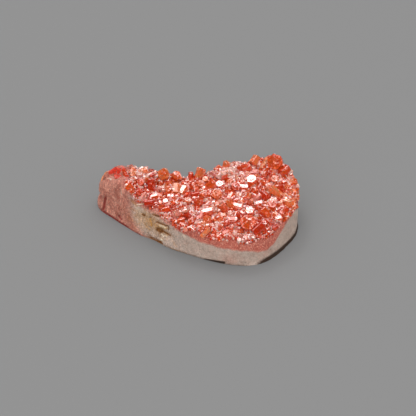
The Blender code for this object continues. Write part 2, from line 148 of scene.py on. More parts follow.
# The crystals that stand out: column and row in the frame, width across flats in mm, length in mm,
# how it lies, how many degrees its shown face leans, towards which bearing, its own turn, and tone.
MAIN_CRYSTALS = [
    # the wide end, from the back to the front
    (255, 160, 1.5, 1.8, LIES, 40, -60, 70, ORANGE),
    (246, 167, 1.7, 1.9, LIES, 30, -120, 20, FLAME),
    (265, 163, 1.1, 2.3, LIES, 35, -100, 65, PEACH),
    (276, 165, 2.7, 3.0, STANDS, 38, -110, 10, FLAME),
    (284, 170, 1.7, 2.0, LIES, 48, -50, 50, RED),
    (271, 159, 1.5, 1.8, STANDS, 30, 100, 0, FLAME),
    (254, 172, 1.4, 1.5, LIES, 22, -95, 0, FLAME),
    (252, 181, 1.7, 2.0, STANDS, 15, -125, 12, FLAME),
    (275, 179, 1.3, 1.5, STANDS, 25, -100, 30, ORANGE),
    (280, 180, 1.0, 1.1, LIES, 20, -60, 40, ORANGE),
    (293, 181, 1.1, 1.3, STANDS, 40, -20, 15, ORANGE),
    (235, 187, 1.5, 1.7, STANDS, 28, -70, 42, RED),
    (243, 187, 1.3, 2.0, LIES, 15, -125, -10, RED),
    (264, 184, 1.1, 1.2, STANDS, 45, -140, 0, FLAME),
    (264, 195, 1.5, 2.3, LIES, 38, -160, -55, WINE),
    (277, 193, 1.4, 3.0, LIES, 32, -60, -38, ORANGE),
    (282, 190, 0.9, 2.2, LIES, 50, -30, -50, WINE),
    (292, 193, 1.2, 1.4, STANDS, 35, -60, 5, FLAME),
    (259, 203, 1.2, 1.4, LIES, 15, -125, 10, FLAME),
    (272, 205, 1.4, 1.7, STANDS, 24, -75, 10, FLAME),
    (290, 203, 1.3, 1.6, LIES, 42, -40, 20, ORANGE),
    (265, 212, 1.5, 1.9, LIES, 46, -65, -48, FLAME),
    (284, 212, 1.1, 1.6, LIES, 52, -60, 75, RED),
    (238, 206, 1.3, 1.8, LIES, 15, -125, -22, FLAME),
    (250, 212, 1.4, 1.9, STANDS, 16, -120, 35, FLAME),
    (279, 218, 1.0, 1.1, LIES, 15, -125, 8, FLAME),
    (248, 224, 2.6, 2.9, STANDS, 30, -95, 25, FLAME),
    (233, 219, 1.3, 1.6, LIES, 18, -110, 0, RED),
    (258, 228, 1.8, 2.2, LIES, 48, -80, 55, WINE),
    (263, 229, 1.1, 1.3, STANDS, 15, -120, 0, RED),
    (266, 222, 1.2, 1.4, STANDS, 25, -130, 20, RED),
    # the middle
    (226, 165, 1.3, 1.5, STANDS, 25, 30, 0, ORANGE),
    (218, 168, 1.1, 1.3, LIES, 25, -150, 30, FLAME),
    (225, 178, 1.1, 1.3, STANDS, 42, -100, 0, RED),
    (220, 185, 1.3, 1.6, STANDS, 15, -125, 0, FLAME),
    (211, 187, 1.8, 2.1, LIES, 42, -120, 35, FLAME),
    (217, 196, 1.7, 2.0, STANDS, 30, -85, 20, ORANGE),
    (205, 179, 1.0, 1.2, STANDS, 18, -80, 0, PEACH),
    (200, 171, 1.5, 2.2, LIES, 50, -90, 80, ORANGE),
    (191, 173, 0.9, 1.8, STANDS, 10, 90, 10, FLAME),
    (200, 184, 1.3, 1.5, STANDS, 28, -60, 15, ORANGE),
    (204, 189, 1.1, 1.2, LIES, 20, -140, 45, FLAME),
    (195, 194, 1.3, 1.6, LIES, 48, -70, 20, RED),
    (187, 197, 1.1, 2.0, LIES, 45, -130, 55, RED),
    (198, 203, 1.5, 1.8, STANDS, 40, -75, 0, FLAME),
    (208, 211, 1.4, 1.7, LIES, 15, -125, 8, FLAME),
    (207, 219, 1.4, 1.6, STANDS, 42, -90, 5, ORANGE),
    (201, 215, 0.9, 1.4, LIES, 24, -100, 70, FLAME),
    (191, 221, 1.0, 1.2, STANDS, 22, -110, 15, FLAME),
    (181, 220, 1.1, 1.3, LIES, 45, -90, 15, RED),
    (205, 232, 0.8, 2.0, LIES, 30, -100, 48, PEACH),
    (220, 219, 1.0, 1.1, STANDS, 32, -70, 0, ORANGE),
    (226, 232, 1.1, 1.3, LIES, 20, -100, 25, FLAME),
    (224, 208, 1.4, 1.6, STANDS, 26, 150, 10, FLAME),
    (231, 196, 1.2, 1.5, LIES, 22, -160, 60, FLAME),
    # the narrow end
    (183, 190, 1.3, 1.8, LIES, 15, -125, 60, ORANGE),
    (176, 188, 1.4, 1.8, LIES, 24, -110, 85, PEACH),
    (171, 196, 1.1, 1.2, LIES, 15, -125, -8, FLAME),
    (169, 189, 1.1, 1.4, STANDS, 30, -120, 20, FLAME),
    (176, 173, 1.5, 2.2, STANDS, 34, -70, 30, ORANGE),
    (164, 174, 1.9, 2.2, STANDS, 42, -95, 0, ORANGE),
    (160, 195, 0.9, 1.1, STANDS, 30, -90, 30, ORANGE),
    (154, 196, 1.1, 1.3, LIES, 15, -125, 18, FLAME),
    (151, 188, 1.4, 2.3, LIES, 48, -100, 85, WINE),
    (166, 202, 0.9, 1.1, STANDS, 15, -125, 0, FLAME),
    (152, 176, 1.1, 1.3, STANDS, 35, -60, 0, WINE),
    (143, 171, 1.4, 1.7, LIES, 25, -130, 25, PEACH),
    (141, 182, 1.2, 1.5, STANDS, 28, -100, 10, RED),
    (134, 174, 1.1, 1.3, STANDS, 25, -140, 0, PEACH),
    (149, 203, 1.3, 1.6, LIES, 50, -85, 10, WINE),
    (166, 209, 1.2, 1.4, LIES, 42, -90, 20, RED),
    (129, 186, 1.0, 1.3, LIES, 35, -120, 50, ORANGE),
    (140, 192, 1.2, 1.4, STANDS, 38, -95, 15, RED),
    (132, 170, 1.0, 1.3, LIES, 30, -100, 60, ORANGE),
    (125, 172, 0.8, 1.9, LIES, 40, -70, -68, RED),
    (127, 179, 0.7, 1.7, LIES, 45, -60, -75, RED),
    (112, 169, 1.4, 1.6, LIES, 25, -130, 35, WINE),
    (118, 170, 1.3, 1.4, STANDS, 18, -110, 20, WINE),
    (116, 165, 1.2, 1.4, LIES, 30, -60, 15, RED),
]

# The crystals that are scattered between them
FILL_SEED = 14
FILL_COUNT = 100
FILL_ACROSS = (0.8, 1.45)  # mm
FILL_LONG = (1.0, 1.5)  # length by width
FILL_LEAN = (5, 55)  # degrees
FILL_CROWDING = 0.5  # of the sum of two widths, how near each other they may be
FILL_RIM = 0.62  # of their width, how near the rim they may be
FILL_TONES = (0.15, 0.9)
FILL_TRIES = 6000
WORN_END = -13.0  # mm, the narrow end beyond this x is ground smooth, with few crystals left
CRYSTAL_SEED = 21
DENSEST = 4.0e7  # small crystals on a square metre, where nothing keeps them apart
FINE_SEED = 40  # what the finest crystals add to the seed
FLOOR_HALF = 1200.0  # mm

# Soft boxes: the setting of its brightness, how it leans from straight above, towards which
# bearing, distance, width and height in m, whether the crystals mirror it, and whether it lights
# the stone
LIGHTS = [
    ("key", 29.5, 118, 0.5, 0.11, 0.11, True, True),
    ("back", 46, 88, 0.6, 0.66, 0.26, True, False),
    ("top", 14, 90, 0.6, 0.62, 0.4, True, False),
    ("over", 20, 90, 0.7, 0.9, 0.6, False, True),
    ("side", 68, -25, 0.7, 0.5, 0.4, False, True),
    ("front", 60, -112, 0.7, 0.6, 0.5, False, True),
]


def shade(hex_colour):
    """An sRGB hex colour as linear red, green and blue."""
    parts = [int(hex_colour[k : k + 2], 16) / 255 for k in (1, 3, 5)]
    return tuple(c / 12.92 if c <= 0.04045 else ((c + 0.055) / 1.055) ** 2.4 for c in parts)


# Shape of the slab, shared by all its pieces. Lengths are in mm, and arrays are welcome.


def blended(x, y, column):
    """One of the values in SPOTS, blended over the plan."""
    x, y = np.asarray(x, float)[..., None], np.asarray(y, float)[..., None]
    apart = (x - SPOTS[:, 0]) ** 2 + (y - SPOTS[:, 1]) ** 2
    weight = 1.0 / (apart + SPOT_REACH**2) ** 1.6
    return (weight * SPOTS[:, column]).sum(axis=-1) / weight.sum(axis=-1)


def rock_top(x, y):
    return blended(x, y, 2)


def crust_top(x, y):
    ripple = np.sin(1.25 * x + 0.6 * y) + np.sin(1.5 * y - 0.7 * x + 1.0)
    return blended(x, y, 3) + RIPPLE * ripple


def bump(distance, reach):
    """1 at no distance, falling smoothly to almost nothing at twice the reach."""
    return np.exp(-((distance / reach) ** 2))


def step_up(value, low, high):
    """0 below low, 1 above high, and smooth between them."""
    share = np.clip((value - low) / (high - low), 0, 1)
    return share * share * (3 - 2 * share)


NOTCH_X, NOTCH_Y, NOTCH_Z = -18.4, 6.0, 2.4  # mm, the notch in the narrow end
# What is chipped off the front: depth, x, reach along x, z and reach along z, in mm
CHIPPED = [
    (0.3, -8.6, 1.4, 1.6, 1.0),
    (0.5, -5.4, 1.3, 2.6, 0.6),
    (0.4, -10.4, 0.9, 3.6, 0.7),
]


def broken_away(x, y, z):
    """How deep the ground side is chipped at a place."""
    notch = 0.7 * bump(np.hypot(x - NOTCH_X, y - NOTCH_Y), 1.5) * bump(z - NOTCH_Z, 0.7)
    chipped = sum(
        deep * bump(x - middle, wide) * bump(z - height, tall) for deep, middle, wide, height, tall in CHIPPED
    )
    return notch + np.where(y > 0, 0.0, chipped)


def outline_points(steps):
    """Evenly spaced points round a smooth closed curve through OUTLINE, with their inward normals."""
    given = np.array(OUTLINE)
    before = np.roll(given, 1, axis=0)
    after = np.roll(given, -1, axis=0)
    beyond = np.roll(given, -2, axis=0)
    fine = []
    for a, b, c, d in zip(before, given, after, beyond):
        for t in np.linspace(0, 1, 24, endpoint=False):
            fine.append(
                0.5 * (2 * b + (c - a) * t + (2 * a - 5 * b + 4 * c - d) * t**2)
                + 0.5 * (3 * b - a - 3 * c + d) * t**3
            )
    fine = np.array(fine + [fine[0]])
    run = np.concatenate([[0], np.cumsum(np.linalg.norm(np.diff(fine, axis=0), axis=1))])
    wanted = np.linspace(0, run[-1], steps, endpoint=False)
    points = np.stack([np.interp(wanted, run, fine[:, k]) for k in (0, 1)], axis=1)
    along = np.roll(points, -1, axis=0) - np.roll(points, 1, axis=0)
    inward = np.stack([-along[:, 1], along[:, 0]], axis=1)
    inward /= np.linalg.norm(inward, axis=1)[:, None]
    return points, inward


def wall_ring(points, inward, z):
    """The side's points at a height, which is given for each place in plan."""
    x, y = points[:, 0], points[:, 1]
    tuck = BASE_EDGE + np.where(y < 4.0, (BASE_EDGE_RIGHT - BASE_EDGE) * bump(x - 15.5, 3.5), 0.0)
    depth = blended(x, y, 4) * z / crust_top(x, y) + broken_away(x, y, z)
    depth = depth + tuck * np.maximum(0.0, 1 - z / BASE_EDGE_HIGH) ** 2
    return np.column_stack([points + inward * depth[:, None], z])


def rim_distance(edge, x, y):
    """How far a place in plan is inside a closed ring of points. It is negative outside."""
    here = np.array((x, y))
    ahead = np.roll(edge, -1, axis=0)
    side = ahead - edge
    share = np.clip(((here - edge) * side).sum(axis=1) / (side**2).sum(axis=1), 0, 1)
    nearest = np.linalg.norm(edge + side * share[:, None] - here, axis=1).min()
    crosses = (edge[:, 1] > y) != (ahead[:, 1] > y)
    rise = np.where(ahead[:, 1] == edge[:, 1], 1.0, ahead[:, 1] - edge[:, 1])
    reach = edge[:, 0] + (y - edge[:, 1]) / rise * side[:, 0]
    inside = np.count_nonzero(crosses & (x < reach)) % 2 == 1
    return nearest if inside else -nearest


def grain(points, size, seed=0.0):
    """Noise from -1 to 1 at each point, with features of a size in mm."""
    return np.array([noise.noise(Vector(p) / size + Vector((seed, 0, 0))) for p in points])


ROW_STEP = 0.87  # of the spacing, between the rows of a grid of triangles
JITTER = 0.2  # of the spacing
JITTER_SEED = 3


def inner_points(ring, spacing, clear):
    """Points of a jittered grid inside a ring of points, at least so far from it."""
    rng = random.Random(JITTER_SEED)
    low, high = ring.min(axis=0), ring.max(axis=0)
    rows = int((high[1] - low[1]) / (spacing * ROW_STEP)) + 1
    columns = int((high[0] - low[0]) / spacing) + 2
    found = []
    for row in range(rows):
        for column in range(columns):
            x = low[0] + (column + 0.5 * (row % 2)) * spacing + rng.uniform(-JITTER, JITTER) * spacing
            y = low[1] + row * spacing * ROW_STEP + rng.uniform(-JITTER, JITTER) * spacing
            if rim_distance(ring, x, y) > clear:
                found.append((x, y))
    return np.array(found)


def side_faces(levels, count):
    """Faces between stacked rings of so many points."""
    faces = []
    for level in range(levels - 1):
        for i in range(count):
            here, there = level * count + i, level * count + (i + 1) % count
            faces.append((here, there, there + count, here + count))
    return faces


def capped(ring, inside, start, beyond):
    """Triangles that fill a ring through the points inside it. The ring's own points are numbered
    from start, and those inside from beyond."""
    count = len(ring)
    flat = [Vector(p) for p in np.vstack([ring[:, :2], inside[:, :2]])]
    edges = [(i, (i + 1) % count) for i in range(count)]
    _, _, faces, origins, _, _ = delaunay_2d_cdt(flat, edges, [], 1, 1e-6)
    numbers = [*range(start, start + count), *range(beyond, beyond + len(inside))]
    index = {i: numbers[came[0]] for i, came in enumerate(origins) if came}
    return [tuple(index[i] for i in face) for face in faces]


def layered_mesh(name, rings, under, inside):
    """A closed mesh from a stack of rings, bottom first, with the inner points of both ends."""
    count = len(rings[0])
    vertices = list(np.vstack(rings))
    faces = side_faces(len(rings), count)
    faces += [face[::-1] for face in capped(rings[0], under, 0, len(vertices))]
    vertices += list(under)
    faces += capped(rings[-1], inside, (len(rings) - 1) * count, len(vertices))
    vertices += list(inside)
    return new_object(name, vertices, faces)


def new_object(name, vertices, faces):
    mesh = bpy.data.meshes.new(name)
    mesh.from_pydata([Vector(p) * MM for p in vertices], [], faces)
    made = bpy.data.objects.new(name, mesh)
    bpy.context.scene.collection.objects.link(made)
    return made


def paint(made, name, values):
    """Stores three masks, one a vertex each, as a colour attribute."""
    stored = made.data.color_attributes.new(name, "FLOAT_COLOR", "POINT")
    colours = np.ones((len(made.data.vertices), 4), np.float32)
    colours[:, :3] = np.column_stack(values)
    stored.data.foreach_set("color", colours.ravel())


def store(made, masks):
    """Stores masks by name, one a vertex each."""
    for name, values in masks.items():
        stored = made.data.attributes.new(name, "FLOAT", "POINT")
        stored.data.foreach_set("value", np.asarray(values, np.float32))


def places(made):
    """The vertices of a mesh, in mm."""
    flat = np.empty(len(made.data.vertices) * 3, np.float32)
    made.data.vertices.foreach_get("co", flat)
    return flat.reshape(-1, 3).astype(float) / MM


SHOULDER = 1.2  # mm, how far the corner at the back of the narrow end is ground back at its top
SHOULDER_X, SHOULDER_Y, SHOULDER_REACH = -17.8, 8.6, 1.5  # mm, where it is
DOME_RISE = 1.35  # mm, how far the stumps of the ground crystals bulge at the narrow end
DOME_X, DOME_Y, DOME_REACH = -14.9, 7.3, 1.8  # mm, where they are
# The foot of the wide end is painted dark and given a dark lip that stands out: painted contact shadow.
SHADOW_FOOT_X, SHADOW_FOOT_REACH = 14.5, 5.5  # mm, where the foot of the wide end is dark
SHADOW_FOOT_FLARE = 0.9  # mm, how far the dark foot of the wide end stands out
SHADOW_FOOT_HIGH = 0.6  # mm, how high it is
EDGE_ROUND = 0.25  # mm, how far the top edge is rounded over
WORN_ROUND = 1.7  # mm, the same at the narrow end
EASE_PASSES = 60

# Height of the pink layer's foot along the front of the slab: x and z in mm
LAYER_FOOT = [
    (-19.0, 6.4), (-12.5, 5.8), (-8.0, 5.3), (-5.0, 5.0), (-3.1, 4.7), (-1.4, 4.2),
    (1.4, 3.8), (4.2, 3.6), (7.0, 3.5), (9.5, 3.1), (11.0, 2.5), (12.3, 2.1),
    (13.4, 2.7), (14.5, 3.9), (15.6, 4.9), (16.6, 5.6), (18.2, 6.2),
]

# Where the crystals are paler, or darker below 0, and where they are sugary with painted sheen:
# how much, column and row in the frame, how much a pixel along and down count, and reach in pixels
TONE_SPOTS = [
    (0.36, 290, 196, 1.0, 0.6, 13),
    (0.2, 165, 188, 1.0, 1.0, 9),
    (0.15, 215, 196, 1.0, 1.0, 8),
    (0.12, 232, 168, 0.5, 1.0, 8),
    (-0.3, 146, 203, 0.6, 1.0, 8),
    (-0.25, 190, 213, 0.5, 1.0, 8),
    (-0.2, 262, 222, 0.6, 1.0, 9),
]
# sugary crystals, and painted sheen where the tiny facets at the back and along the front rim catch the light
FROST_AND_SHEEN_SPOTS = [
    (0.8, 231, 171, 0.62, 1.0, 8.5),
    (0.6, 242, 235, 0.45, 1.0, 5.5),
    (0.25, 204, 204, 0.5, 1.0, 8),
    (0.25, 284, 172, 1.0, 1.0, 6),
    (0.75, 142, 172, 0.8, 1.0, 10),
    (-0.3, 150, 206, 0.5, 1.0, 6),
    (0.2, 214, 226, 0.6, 1.0, 7),
    (-0.2, 287, 198, 0.7, 0.7, 9),
]
FROST_AND_SHEEN_BASE = 0.32

# Soft stains on the side: how strong, x and z in mm, how much x and z count, and reach in mm
BLUSH_SPOTS = [(0.3, 5.6, 1.4, 1.0, 1.2, 1.6), (0.2, 12.0, 1.6, 1.0, 1.0, 1.0)]
RUST_SPOTS = [(0.55, -8.2, 3.7, 0.6, 1.0, 1.9), (0.3, -2.4, 0.2, 0.5, 1.0, 0.5)]
RUST_HALO = [(0.3, -9.0, 2.8, 0.45, 1.0, 2.6)]

# Marks on the ground side: kind, column and row of both ends in the frame, half width in pixels,
# how strong its colour is, and how deep it is in mm
# Some of them are painted light, as said at each: a painted glow, painted shadows and painted highlights.
SIDE_MARKS = [
    ("worn", 110.5, 171, 114, 167.5, 1.9, 1.6, 0.03),
    ("worn", 114, 169.5, 119, 170.5, 2.1, 1.6, -0.03),
    ("worn", 113, 165.5, 117, 164.5, 1.2, 1.2, 0.0),
    ("worn", 121.5, 166, 124, 169, 1.0, 1.1, 0.04),
    ("worn", 124, 170, 126.5, 176, 1.6, 1.6, 0.05),
    ("worn", 126.5, 176, 127.5, 182, 1.4, 1.4, 0.05),
    ("rose", 126, 197, 138, 202, 3.4, 1.0, 0.0),
    ("rose", 136, 202, 146, 207, 2.4, 0.6, 0.0),
    ("rose", 126, 229, 142, 236, 2.0, 0.5, 0.0),
    # painted glow where light comes through the thin rim
    ("glow", 101.5, 180, 103.5, 174, 0.7, 0.8, 0.0),
    ("glow", 103.5, 174, 109, 168.5, 0.9, 1.0, 0.0),
    # painted highlights on the shiny worn crystal tops
    ("pale", 113.5, 176, 117.5, 174.6, 1.2, 1.6, -0.05),
    ("pale", 107, 177.5, 111, 179.2, 1.0, 1.5, -0.05),
    ("pale", 117, 164, 122, 164.5, 0.9, 1.1, -0.03),
    ("worn", 127, 190, 129, 191, 0.8, 0.7, 0.1),
    ("pale", 121, 188, 121.5, 195, 0.7, 0.55, 0.0),
    ("pale", 112, 197, 115, 199, 1.8, 0.35, 0.0),
    ("maroon", 105.5, 198, 103.5, 209, 1.5, 0.95, 0.3),
    ("maroon", 106, 195, 106.3, 197, 0.7, 0.8, 0.12),
    ("maroon", 119, 216, 121.5, 219.5, 1.2, 1.0, 0.3),
    ("maroon", 117, 204, 119, 205.5, 0.6, 0.6, 0.1),
    ("maroon", 108, 200, 109, 202, 0.7, 0.5, 0.1),
    ("maroon", 121, 208, 122, 211, 0.9, 0.45, 0.08),
    # painted shade along the foot of the narrow end
    ("maroon", 104, 211, 118, 220.5, 0.9, 0.6, 0.0),
    ("maroon", 118, 220.5, 128, 227, 0.9, 0.45, 0.0),
    ("maroon", 128, 190, 131, 196, 1.2, 0.3, 0.05),
    ("maroon", 147, 232, 152, 238, 1.2, 0.35, 0.05),
    ("ochre", 130, 199, 137, 206, 1.6, 0.5, 0.0),
    ("ochre", 133, 210, 149, 222, 5.5, 0.35, 0.0),
    # a painted glint along the edge of the crust
    ("pale", 137, 204.5, 145, 204, 0.8, 0.9, -0.05),
    ("pale", 137, 209, 142, 216, 2.2, 0.35, 0.0),
    # painted shadow under the crystals at the edge of the crust
    ("hole", 153, 214.5, 159, 216.6, 0.9, 1.1, 0.3),
    ("hole", 143.0, 214.6, 144.6, 215.2, 1.0, 1.2, 0.24),
    ("hole", 150, 217, 151.5, 217.6, 0.8, 0.9, 0.2),
    ("ochre", 150, 219, 152, 226, 1.2, 1.2, 0.1),
    ("ochre", 144, 223, 150, 230, 1.0, 0.8, 0.08),
    ("ochre", 141, 214, 149, 213, 1.4, 0.6, 0.0),
    ("crack", 156.5, 222, 168.5, 226.3, 0.8, 1.3, 0.22),
    ("crack", 168.5, 226.3, 168.6, 229.6, 0.8, 1.1, 0.2),
    ("ochre", 159, 226, 166, 228, 1.9, 1.1, -0.12),
    ("pale", 160, 225.6, 165.5, 227.6, 1.5, 0.75, -0.06),
    ("hole", 158.2, 229.6, 161.5, 230.8, 2.1, 1.5, 0.42),
    ("hole", 161, 231, 159.6, 233.5, 0.9, 0.7, 0.2),
    ("ochre", 157, 228, 168, 234, 2.0, 0.8, 0.0),
    ("crack", 163, 231, 170.6, 235.4, 0.8, 1.1, 0.18),
    ("ochre", 160, 237, 164, 240, 1.2, 0.6, 0.0),
    ("pale", 161.5, 234, 163.5, 236, 1.1, 0.9, -0.08),
    ("pale", 166, 235.6, 167, 237, 0.9, 0.7, -0.05),
    ("pale", 160.8, 239, 162.6, 240.4, 1.1, 1.1, -0.08),
    # painted shadow under the overhang of the foot, and at its step
    ("hole", 152, 240.0, 160.4, 242.4, 1.1, 1.3, 0.25),
    ("crack", 160.6, 242, 162, 244.6, 0.6, 0.8, 0.1),
    ("ochre", 171, 248.5, 185, 254.5, 1.3, 0.7, 0.0),
    ("ochre", 172, 240, 176, 246, 1.6, 0.4, 0.0),
    ("pale", 181, 233, 185, 237, 2.2, 0.5, 0.0),
    ("pale", 158, 218, 163, 221, 1.6, 0.5, 0.0),
    ("crack", 239, 262, 246, 262.4, 0.5, 0.5, 0.05),
    ("crack", 193, 259.4, 205, 260.4, 0.8, 0.35, 0.03),
    ("crack", 205, 260, 224, 262.4, 1.2, 0.9, 0.06),
]


# Where the crystals are


def bearing(lean, towards):
    """The direction that leans so many degrees from +Z towards a bearing from +X."""
    lean, towards = math.radians(lean), math.radians(towards)
    return Vector((math.sin(lean) * math.cos(towards), math.sin(lean) * math.sin(towards), math.cos(lean)))


FIRST_GUESS = 7.0  # mm, height of the crust
GUESSES = 24  # each halves what the last one was out by
CRYSTALS_STAND = 0.4  # mm, how far the middle of a crystal's shown face is over the crust


def spot_behind(column, row):
    """Where the crust lies behind a pixel of the frame: x and y in mm."""
    back, up = Vector(EYE_BACK), Vector(EYE_UP)
    eye = EYE_AIM + back * EYE_DISTANCE
    across = (column - FRAME_SIDE / 2) / EYE_FOCUS
    rise = (FRAME_SIDE / 2 - row) / EYE_FOCUS
    ray = -back + Vector((1, 0, 0)) * across + up * rise
    height = FIRST_GUESS
    for _ in range(GUESSES):
        place = eye + ray * ((height - eye.z) / ray.z)
        height = 0.5 * (height + float(crust_top(place.x, place.y)) + CRYSTALS_STAND)
    return place.x, place.y


def seen_at(points):
    """The column and row in the frame of each point."""
    away = points - np.array(EYE_AIM)
    depth = EYE_DISTANCE - away @ np.array(EYE_BACK)
    column = FRAME_SIDE / 2 + EYE_FOCUS * away[:, 0] / depth
    return column, FRAME_SIDE / 2 - EYE_FOCUS * (away @ np.array(EYE_UP)) / depth


def spotted(across, up, value, spots):
    """A value over the frame or the side, with more or less of it at each spot."""
    for amount, middle, high, wide, tall, reach in spots:
        value = value + amount * bump(np.hypot(wide * (across - middle), tall * (up - high)), reach)
    return value


def tone_shift(column, row):
    """How much paler, or darker below 0, the crystals are at a place in the frame."""
    return spotted(column, row, 0.0, TONE_SPOTS)


def frost_and_sheen_share(column, row):
    """How much of the crust is sugary, with painted sheen, at a place in the frame, from 0 to 1."""
    return np.clip(spotted(column, row, FROST_AND_SHEEN_BASE, FROST_AND_SHEEN_SPOTS), 0, 1)


def crystal_turn(how, lean, towards, turn):
    """The rotation of a crystal whose own length is Z and one of whose side faces is at +X."""
    shown = bearing(lean, towards)
    if how == STANDS:
        length = shown
        side = bearing(90, turn)
    else:
        side = shown
        length = bearing(90, turn)
        length = length - side * length.dot(side)
    length.normalize()
    side = (side - length * side.dot(length)).normalized()
    return Matrix((side, length.cross(side), length)).transposed()


def crystal_centre(x, y, lift, across, long, turn):
    """Where the middle of a crystal is, so that part of it stays in the crust."""
    reach = abs(turn.col[2].z) * long / 2 + math.sqrt(1 - turn.col[2].z ** 2) * across / 2
    centre = Vector((x, y, float(crust_top(x, y)) + reach * (1 - 2 * SUNK) + lift))
    beside = (rock_top(x, y), rock_top(x, y - across), rock_top(x + across, y))
    centre.z = max(centre.z, float(min(beside)) + SEAM + 0.15 + reach + 0.1 * across)
    return centre


def placed_crystals():
    """All the larger crystals as (centre, width, length, rotation, tone)."""
    points, inward = outline_points(RIM_STEPS)
    top = crust_top(points[:, 0], points[:, 1])
    edge = wall_ring(points, inward, top)[:, :2]
    placed = []
    for column, row, across, long, how, lean, towards, turn, tone in MAIN_CRYSTALS:
        x, y = spot_behind(column, row)
        lift = 0.0
        while y > 0 and rim_distance(edge, x, y) < RIM_HOLD * across:
            y -= RIM_STEP
            lift += RIM_STEP * math.tan(EYE_HEIGHT)
        lift = min(lift, MOST_LIFT * long)
        placed.append((x, y, lift, across, long, crystal_turn(how, lean, towards, turn), tone))
    rng = random.Random(FILL_SEED)
    tones = random.Random(FILL_SEED + 1)
    low, high = edge.min(axis=0), edge.max(axis=0)
    wanted = len(placed) + FILL_COUNT
    for _ in range(FILL_TRIES):
        if len(placed) == wanted:
            break
        x, y = rng.uniform(low[0], high[0]), rng.uniform(low[1], high[1])
        across = rng.uniform(*FILL_ACROSS)
        long = across * rng.uniform(*FILL_LONG)
        how = rng.choice((STANDS, LIES, LIES))
        turn = crystal_turn(how, rng.uniform(*FILL_LEAN), rng.uniform(0, 360), rng.uniform(0, 360))
        if x < WORN_END or rim_distance(edge, x, y) < FILL_RIM * across:
            continue
        if all(
            math.hypot(x - other[0], y - other[1]) > FILL_CROWDING * (across + other[3])
            for other in placed
        ):
            placed.append((x, y, 0.0, across, long, turn, tones.uniform(*FILL_TONES)))
    return [(crystal_centre(*place[:6]),) + place[3:] for place in placed]


KEY_MIRROR = bearing(15, -125)  # a face turned this way throws the key light at the camera


# Materials


def add_node(tree, kind, inputs=None, **settings):
    """Adds a node, sets its settings, and gives each input a value, or a link from a socket or from
    the first output of a node. A colour gets a full alpha."""
    made = tree.nodes.new(kind)
    for name, value in settings.items():
        setattr(made, name, value)
    for name, value in (inputs or {}).items():
        if isinstance(value, bpy.types.Node):
            value = value.outputs[0]
        elif isinstance(value, Color):
            value = (*value, 1.0)
        if isinstance(value, bpy.types.NodeSocket):
            tree.links.new(value, made.inputs[name])
        else:
            made.inputs[name].default_value = value
    return made


def new_material(name):
    """A material with an empty tree, its output and the object's own coordinates."""
    material = bpy.data.materials.new(name)
    material.use_nodes = True
    tree = material.node_tree
    tree.nodes.clear()
    output = add_node(tree, "ShaderNodeOutputMaterial")
    coordinates = add_node(tree, "ShaderNodeTexCoord").outputs["Object"]
    return material, tree, output, coordinates


